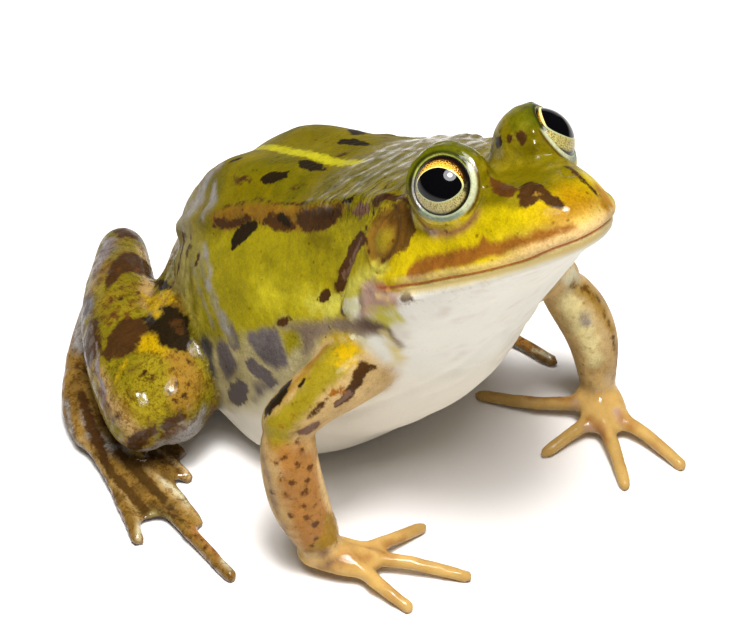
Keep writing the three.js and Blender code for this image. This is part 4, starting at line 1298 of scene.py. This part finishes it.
finish_piece(skin, co)
keep("ground", ground)
keep("granular", granular)
keep("flecked", flecked)
keep("wet", wet)
keep("mouth_line", mouth_line)
line_share = np.clip(lips, 0, 1) * ramp(MOUTH["end"] + 0.2 - u, 0, 1.2)
keep("line_share", line_share)
keep("lips", line_share * ramp(17 - u, 0, 3))
knee = np.linalg.norm(here["legs"] - np.array(KNEE), axis=1)
keep("wrinkled", np.maximum(nape, legs * (0.25 + 0.6 * swell_of(knee, 0, 2.2))))
keep("lie", lie * (1 - legs[:, None]) + co * 1.5 * legs[:, None])
for layer, (edge, tone) in layers.items():
    keep(f"{layer}_edge", edge)
    keep(f"{layer}_tone", tone)
skin.data.polygons.foreach_set("use_smooth", np.ones(len(skin.data.polygons), bool))


# ---------------------------------------------------------------- shader sums in Python
class Value:
    """A shader socket that Python's operators work on."""

    def __init__(self, sheet, socket):
        self.sheet, self.socket = sheet, socket

    def math(self, operation, *others):
        node = self.sheet.node("Math", {"operation": operation}, dict(enumerate((self, *others))))
        return Value(self.sheet, node.outputs[0])

    def __add__(self, other):
        return self.math("ADD", other)

    __radd__ = __add__

    def __mul__(self, other):
        return self.math("MULTIPLY", other)

    __rmul__ = __mul__

    def __sub__(self, other):
        return self.math("SUBTRACT", other)

    def __rsub__(self, other):
        return self.math("MULTIPLY", -1).math("ADD", other)

    def __truediv__(self, other):
        return self.math("DIVIDE", other)

    def __pow__(self, other):
        return self.math("POWER", other)

    def between(self, low, high):
        """Zero at low, one at high, smooth between them."""
        node = self.sheet.node(
            "MapRange", {"interpolation_type": "SMOOTHSTEP"},
            {"Value": self, "From Min": low, "From Max": high},
        )
        return Value(self.sheet, node.outputs[0])


class Sheet:
    """One material, its nodes added by kind, settings and inputs."""

    def __init__(self, name, constants):
        self.material = bpy.data.materials.new(name)
        self.material.use_nodes = True
        self.tree = self.material.node_tree
        self.shader = self.tree.nodes["Principled BSDF"]
        for key, value in constants.items():
            self.shader.inputs[key].default_value = value

    def plug(self, socket, value):
        if isinstance(value, Value):
            self.tree.links.new(value.socket, socket)
        elif value is not None:
            if isinstance(value, tuple) and len(value) == 3 and socket.type == "RGBA":
                value = (*value, 1)
            socket.default_value = value

    def node(self, kind, settings=None, inputs=None):
        made = self.tree.nodes.new(f"ShaderNode{kind}")
        for key, value in (settings or {}).items():
            if key == "stops":
                ramp_of = made.color_ramp
                while len(ramp_of.elements) < len(value):
                    ramp_of.elements.new(0.5)
                for element, (place, colour) in zip(ramp_of.elements, value):
                    element.position, element.color = place, (*colour, 1)
            else:
                setattr(made, key, value)
        for key, value in (inputs or {}).items():
            self.plug(made.inputs[key], value)
        return made

    def out(self, kind, settings=None, inputs=None, output=0):
        return Value(self, self.node(kind, settings, inputs).outputs[output])

    def attribute(self, name, output="Fac"):
        return self.out("Attribute", {"attribute_name": name}, output=output)

    def mix(self, a, b, share, how="MIX"):
        made = self.node("Mix", {"data_type": "RGBA", "blend_type": how}, {0: share, 6: a, 7: b})
        return Value(self, made.outputs[2])

    def bump(self, height, distance, strength=1.0, normal=None):
        return self.out("Bump", None, {"Strength": strength, "Distance": distance,
                                       "Height": height, "Normal": normal})


def noise_of(sheet, place, scale, detail=2.0, roughness=0.5):
    return sheet.out("TexNoise", None, {"Vector": place, "Scale": scale, "Detail": detail,
                                        "Roughness": roughness})


def tone_of(name):
    return tuple(float(c) for c in linear(name))


def skin_material():
    s = Sheet("skin", {"Coat Roughness": 0.08, "Coat IOR": 1.5, "Specular IOR Level": 0.03})
    place = s.out("TexCoord", output="Object")
    warp = noise_of(s, place, 1500, 4, 0.6) - 0.5
    fleck = noise_of(s, place, 4200, 3, 0.65)
    blotch = noise_of(s, place, 1300, 4, 0.65)
    colour = s.attribute("ground", "Color")
    flecked = s.attribute("flecked")
    brown = s.mix(colour, (0.42, 0.30, 0.16), 1.0, "MULTIPLY")
    specks = (blotch * 0.5 + fleck * 0.5 + flecked * 0.03).between(0.53, 0.6)
    colour = s.mix(colour, brown, specks * flecked * 0.75)
    pores = s.out("TexVoronoi", {"feature": "F1"}, {"Vector": place, "Scale": 1000})
    dots = (1 - pores.between(0.1, 0.22)) * blotch.between(0.46, 0.6)
    colour = s.mix(colour, brown, dots * s.attribute("granular") * 0.8)
    for layer, width in (("patch", 0.6), ("spot", 0.5)):
        edge = s.attribute(f"{layer}_edge") + warp * 3.6
        share = 1 - edge.between(-width, width)
        colour = s.mix(colour, s.attribute(f"{layer}_tone", "Color"), share)
    # lips: a salmon groove, a cream band over it and a thin yellow edge beneath
    lip = s.attribute("mouth_line") + (noise_of(s, place, 420, 2, 0.5) - 0.5) * 0.25
    lip = lip + warp * 0.25
    band = lip.between(0.06, 0.2) * (1 - lip.between(0.5, 1.0))
    lips = s.attribute("lips")
    colour = s.mix(colour, tone_of("lip"), band * lips * 0.6)
    under = lip.between(-1.2, -0.3) * (1 - lip.between(-0.2, -0.08))
    colour = s.mix(colour, tone_of("lip_low"), under * lips * 0.9)
    line = 1 - (s.attribute("mouth_line") + warp * 0.12).math("ABSOLUTE").between(0.07, 0.19)
    colour = s.mix(colour, tone_of("salmon"), line * s.attribute("line_share") * 0.9)
    granular = s.attribute("granular")
    clouds = noise_of(s, place, 330, 3, 0.6) - 0.5
    shade = ((fleck - 0.5) * 0.9 + (noise_of(s, place, 9000, 2, 0.6) - 0.5) * 0.5) * granular
    shade = shade + clouds * granular * 1.2 + 1.0
    grey = s.out("CombineColor", None, {0: shade, 1: shade, 2: shade * 0.94})
    colour = s.mix(colour, grey, 1.0, "MULTIPLY")
    s.plug(s.shader.inputs["Base Color"], colour)
    cells = s.out("TexVoronoi", {"feature": "SMOOTH_F1"}, {"Vector": place, "Scale": 1600,
                                                          "Smoothness": 0.6})
    fine_cells = s.out("TexVoronoi", {"feature": "F1"}, {"Vector": place, "Scale": 4200})
    height = (1 - cells) * 0.6 + noise_of(s, place, 2600, 3) * 0.5 + (1 - fine_cells) * 0.18
    folds = noise_of(s, s.attribute("lie", "Vector"), 1.05, 3, 0.6) * s.attribute("wrinkled")
    folded = s.bump(folds, 0.0013, 1.0)
    s.plug(s.shader.inputs["Normal"], s.bump(height * granular, 0.00016, 0.6, folded))
    film = noise_of(s, place, 900, 3).between(0.44, 0.62)
    water = s.attribute("wet") * (film * 0.75 + 0.25)
    s.plug(s.shader.inputs["Coat Weight"], water.math("MINIMUM", 1.0))
    s.plug(s.shader.inputs["Roughness"], 0.42 + fleck * 0.2)
    return s.material


def plain_material(name, colour, roughness):
    s = Sheet(name, {"Roughness": roughness})
    s.plug(s.shader.inputs["Base Color"], colour)
    return s.material


skin.data.materials.append(skin_material())
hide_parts(*FLESH)
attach(skin, "root")


# ---------------------------------------------------------------- eyes
def eye_material(name, centre, across, up, pupil_height, shift, veil_lift):
    s = Sheet(f"eye_{name}", {"Roughness": 0.5, "Specular IOR Level": 0.0, "Coat Weight": 1.0,
                              "Coat Roughness": 0.015, "Coat IOR": 1.42})
    place = s.out("TexCoord", output="Object")
    scaled = s.out("VectorMath", {"operation": "SCALE"}, {0: place, "Scale": 1000})
    rel = s.out("VectorMath", {"operation": "SUBTRACT"}, {0: scaled, 1: tuple(centre + SHIFT)})

    def along(direction):
        node = s.node("VectorMath", {"operation": "DOT_PRODUCT"}, {0: rel, 1: tuple(direction)})
        return Value(s, node.outputs["Value"])

    h, w = along(across) + shift, along(up)
    radius = (h * h + w * w) ** 0.5
    angle = w.math("ARCTAN2", h)
    tall = w.math("MAXIMUM", 0.0) / pupil_height
    tall = tall + (-1 * w).math("MAXIMUM", 0.0) / PUPIL_HALF["below"]
    oval = ((h.math("ABSOLUTE") / PUPIL_HALF["across"]) ** 1.8 + tall**1.8) ** (1 / 1.8)
    pupil = 1 - oval.between(0.99, 1.01)
    rim = (1 - oval.between(1.045, 1.075)) - pupil
    net = s.out("CombineXYZ", None, {0: angle * 3.4, 1: radius * 3.6, 2: 0.0})
    lace = noise_of(s, net, 4.2, 4, 0.7)
    rays = noise_of(s, s.out("CombineXYZ", None, {0: angle * 15, 1: radius * 1.6, 2: 3.0}), 1.8, 3)
    lace = (lace - 0.5) * 1.5 + 0.5
    gold = s.mix((0.80, 0.34, 0.01), (0.92, 0.56, 0.08), lace.between(0.44, 0.62))
    veil = lace - (radius - 1.75) * 0.5 + veil_lift
    upper = s.mix((0.045, 0.010, 0.002), gold, veil.between(0.4, 0.46))
    upper = s.mix(upper, (0.006, 0.003, 0.002), (radius + lace * 0.5).between(2.3, 2.5))
    threads = (rays * 0.35 + lace * 0.65).between(0.4, 0.56)
    lower = s.mix((0.10, 0.08, 0.02), (0.46, 0.40, 0.13), threads)
    lower = s.mix(lower, (0.46, 0.27, 0.10), noise_of(s, net, 2.0, 2).between(0.5, 0.7) * 0.4)
    iris = s.mix(lower, upper, w.between(-0.25, 0.35))
    sides = (h.math("ABSOLUTE") - w.math("ABSOLUTE") * 0.75).between(1.5, 2.0)
    speck = s.mix((0.012, 0.010, 0.005), (0.16, 0.15, 0.06), rays.between(0.56, 0.7))
    iris = s.mix(iris, speck, sides * 0.9)
    iris = s.mix(iris, (0.003, 0.003, 0.003), (radius + lace * 0.25).between(2.34, 2.52))
    edge = s.mix((0.34, 0.38, 0.20), (0.82, 0.74, 0.24), w.between(-0.3, 0.5))
    iris = s.mix(iris, edge, rim.math("MAXIMUM", 0.0))
    s.plug(s.shader.inputs["Base Color"], s.mix(iris, (0.0015, 0.0015, 0.002), pupil))
    return s.material


for name, k in SIDES.items():
    bpy.ops.mesh.primitive_uv_sphere_add(segments=64, ring_count=48, radius=EYE["radius"])
    eye = bpy.context.object
    eye.name = f"eyeball_{name}"
    centre, axis = eye_centre(k), eye_axis(k)
    up = head_direction((0, 0.05, 1))
    up = up - (up @ axis) * axis
    up /= np.linalg.norm(up)
    across = np.cross(up, axis)
    tilt = PUPIL_TILT[name]
    across, up = (
        np.cos(tilt) * across - np.sin(tilt) * up,
        np.sin(tilt) * across + np.cos(tilt) * up,
    )
    turn = Vector((0, 0, 1)).rotation_difference(Vector(axis)).to_matrix()
    shape = corners(eye.data)
    finish_piece(eye, shape @ np.array(turn).T + centre)
    eye.matrix_world = Matrix.Identity(4)
    eye.data.polygons.foreach_set("use_smooth", np.ones(len(eye.data.polygons), bool))
    eye.data.materials.append(eye_material(name, centre, across, up, *PUPIL[name]))
    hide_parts(f"eye_{name}")
    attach(eye, "root")


# ---------------------------------------------------------------- studio
def aimed(ob, place, aim):
    place, aim = (Vector((np.array(p) + SHIFT) / 1000) for p in (place, aim))
    ob.location = place
    ob.rotation_euler = (aim - place).to_track_quat("-Z", "Y").to_euler()


camera = bpy.data.objects.new("camera", bpy.data.cameras.new("camera"))
bpy.context.scene.collection.objects.link(camera)
camera.data.sensor_width = CAMERA["sensor"]
camera.data.lens = CAMERA["lens"]
camera.data.clip_start = 0.01
aimed(camera, CAMERA["place"], CAMERA["aim"])
bpy.context.scene.camera = camera

bpy.ops.mesh.primitive_plane_add(size=4)
floor = bpy.context.object
floor.name = "floor"
floor.data.materials.append(plain_material("floor", (0.85, 0.82, 0.8), 0.7))
glow = floor.data.materials[0].node_tree.nodes["Principled BSDF"].inputs
glow["Emission Color"].default_value = (1, 1, 1, 1)
glow["Emission Strength"].default_value = 0.01

world = bpy.data.worlds.new("studio")
world.use_nodes = True
world.node_tree.nodes["Background"].inputs["Color"].default_value = (1, 0.88, 0.8, 1)
world.node_tree.nodes["Background"].inputs["Strength"].default_value = 0.025
bpy.context.scene.world = world


def soft_light(name, place, size, power, aim=(0, 0, 15), shape="RECTANGLE"):
    lamp = bpy.data.objects.new(name, bpy.data.lights.new(name, "AREA"))
    bpy.context.scene.collection.objects.link(lamp)
    lamp.data.shape = shape
    lamp.data.size, lamp.data.size_y = size[0] / 1000, size[1] / 1000
    lamp.data.energy = power
    aimed(lamp, place, aim)


soft_light("overhead", (-96, -138, 590), (400, 400), 4.9, shape="DISK")
soft_light("overhead_core", (-95, -137, 585), (150, 150), 2.5, shape="DISK")
soft_light("backdrop", (300, 480, 60), (900, 200), 0.22)
soft_light("front", (10, -420, 60), (300, 100), 0.14)
bpy.context.scene.view_settings.view_transform = "Standard"
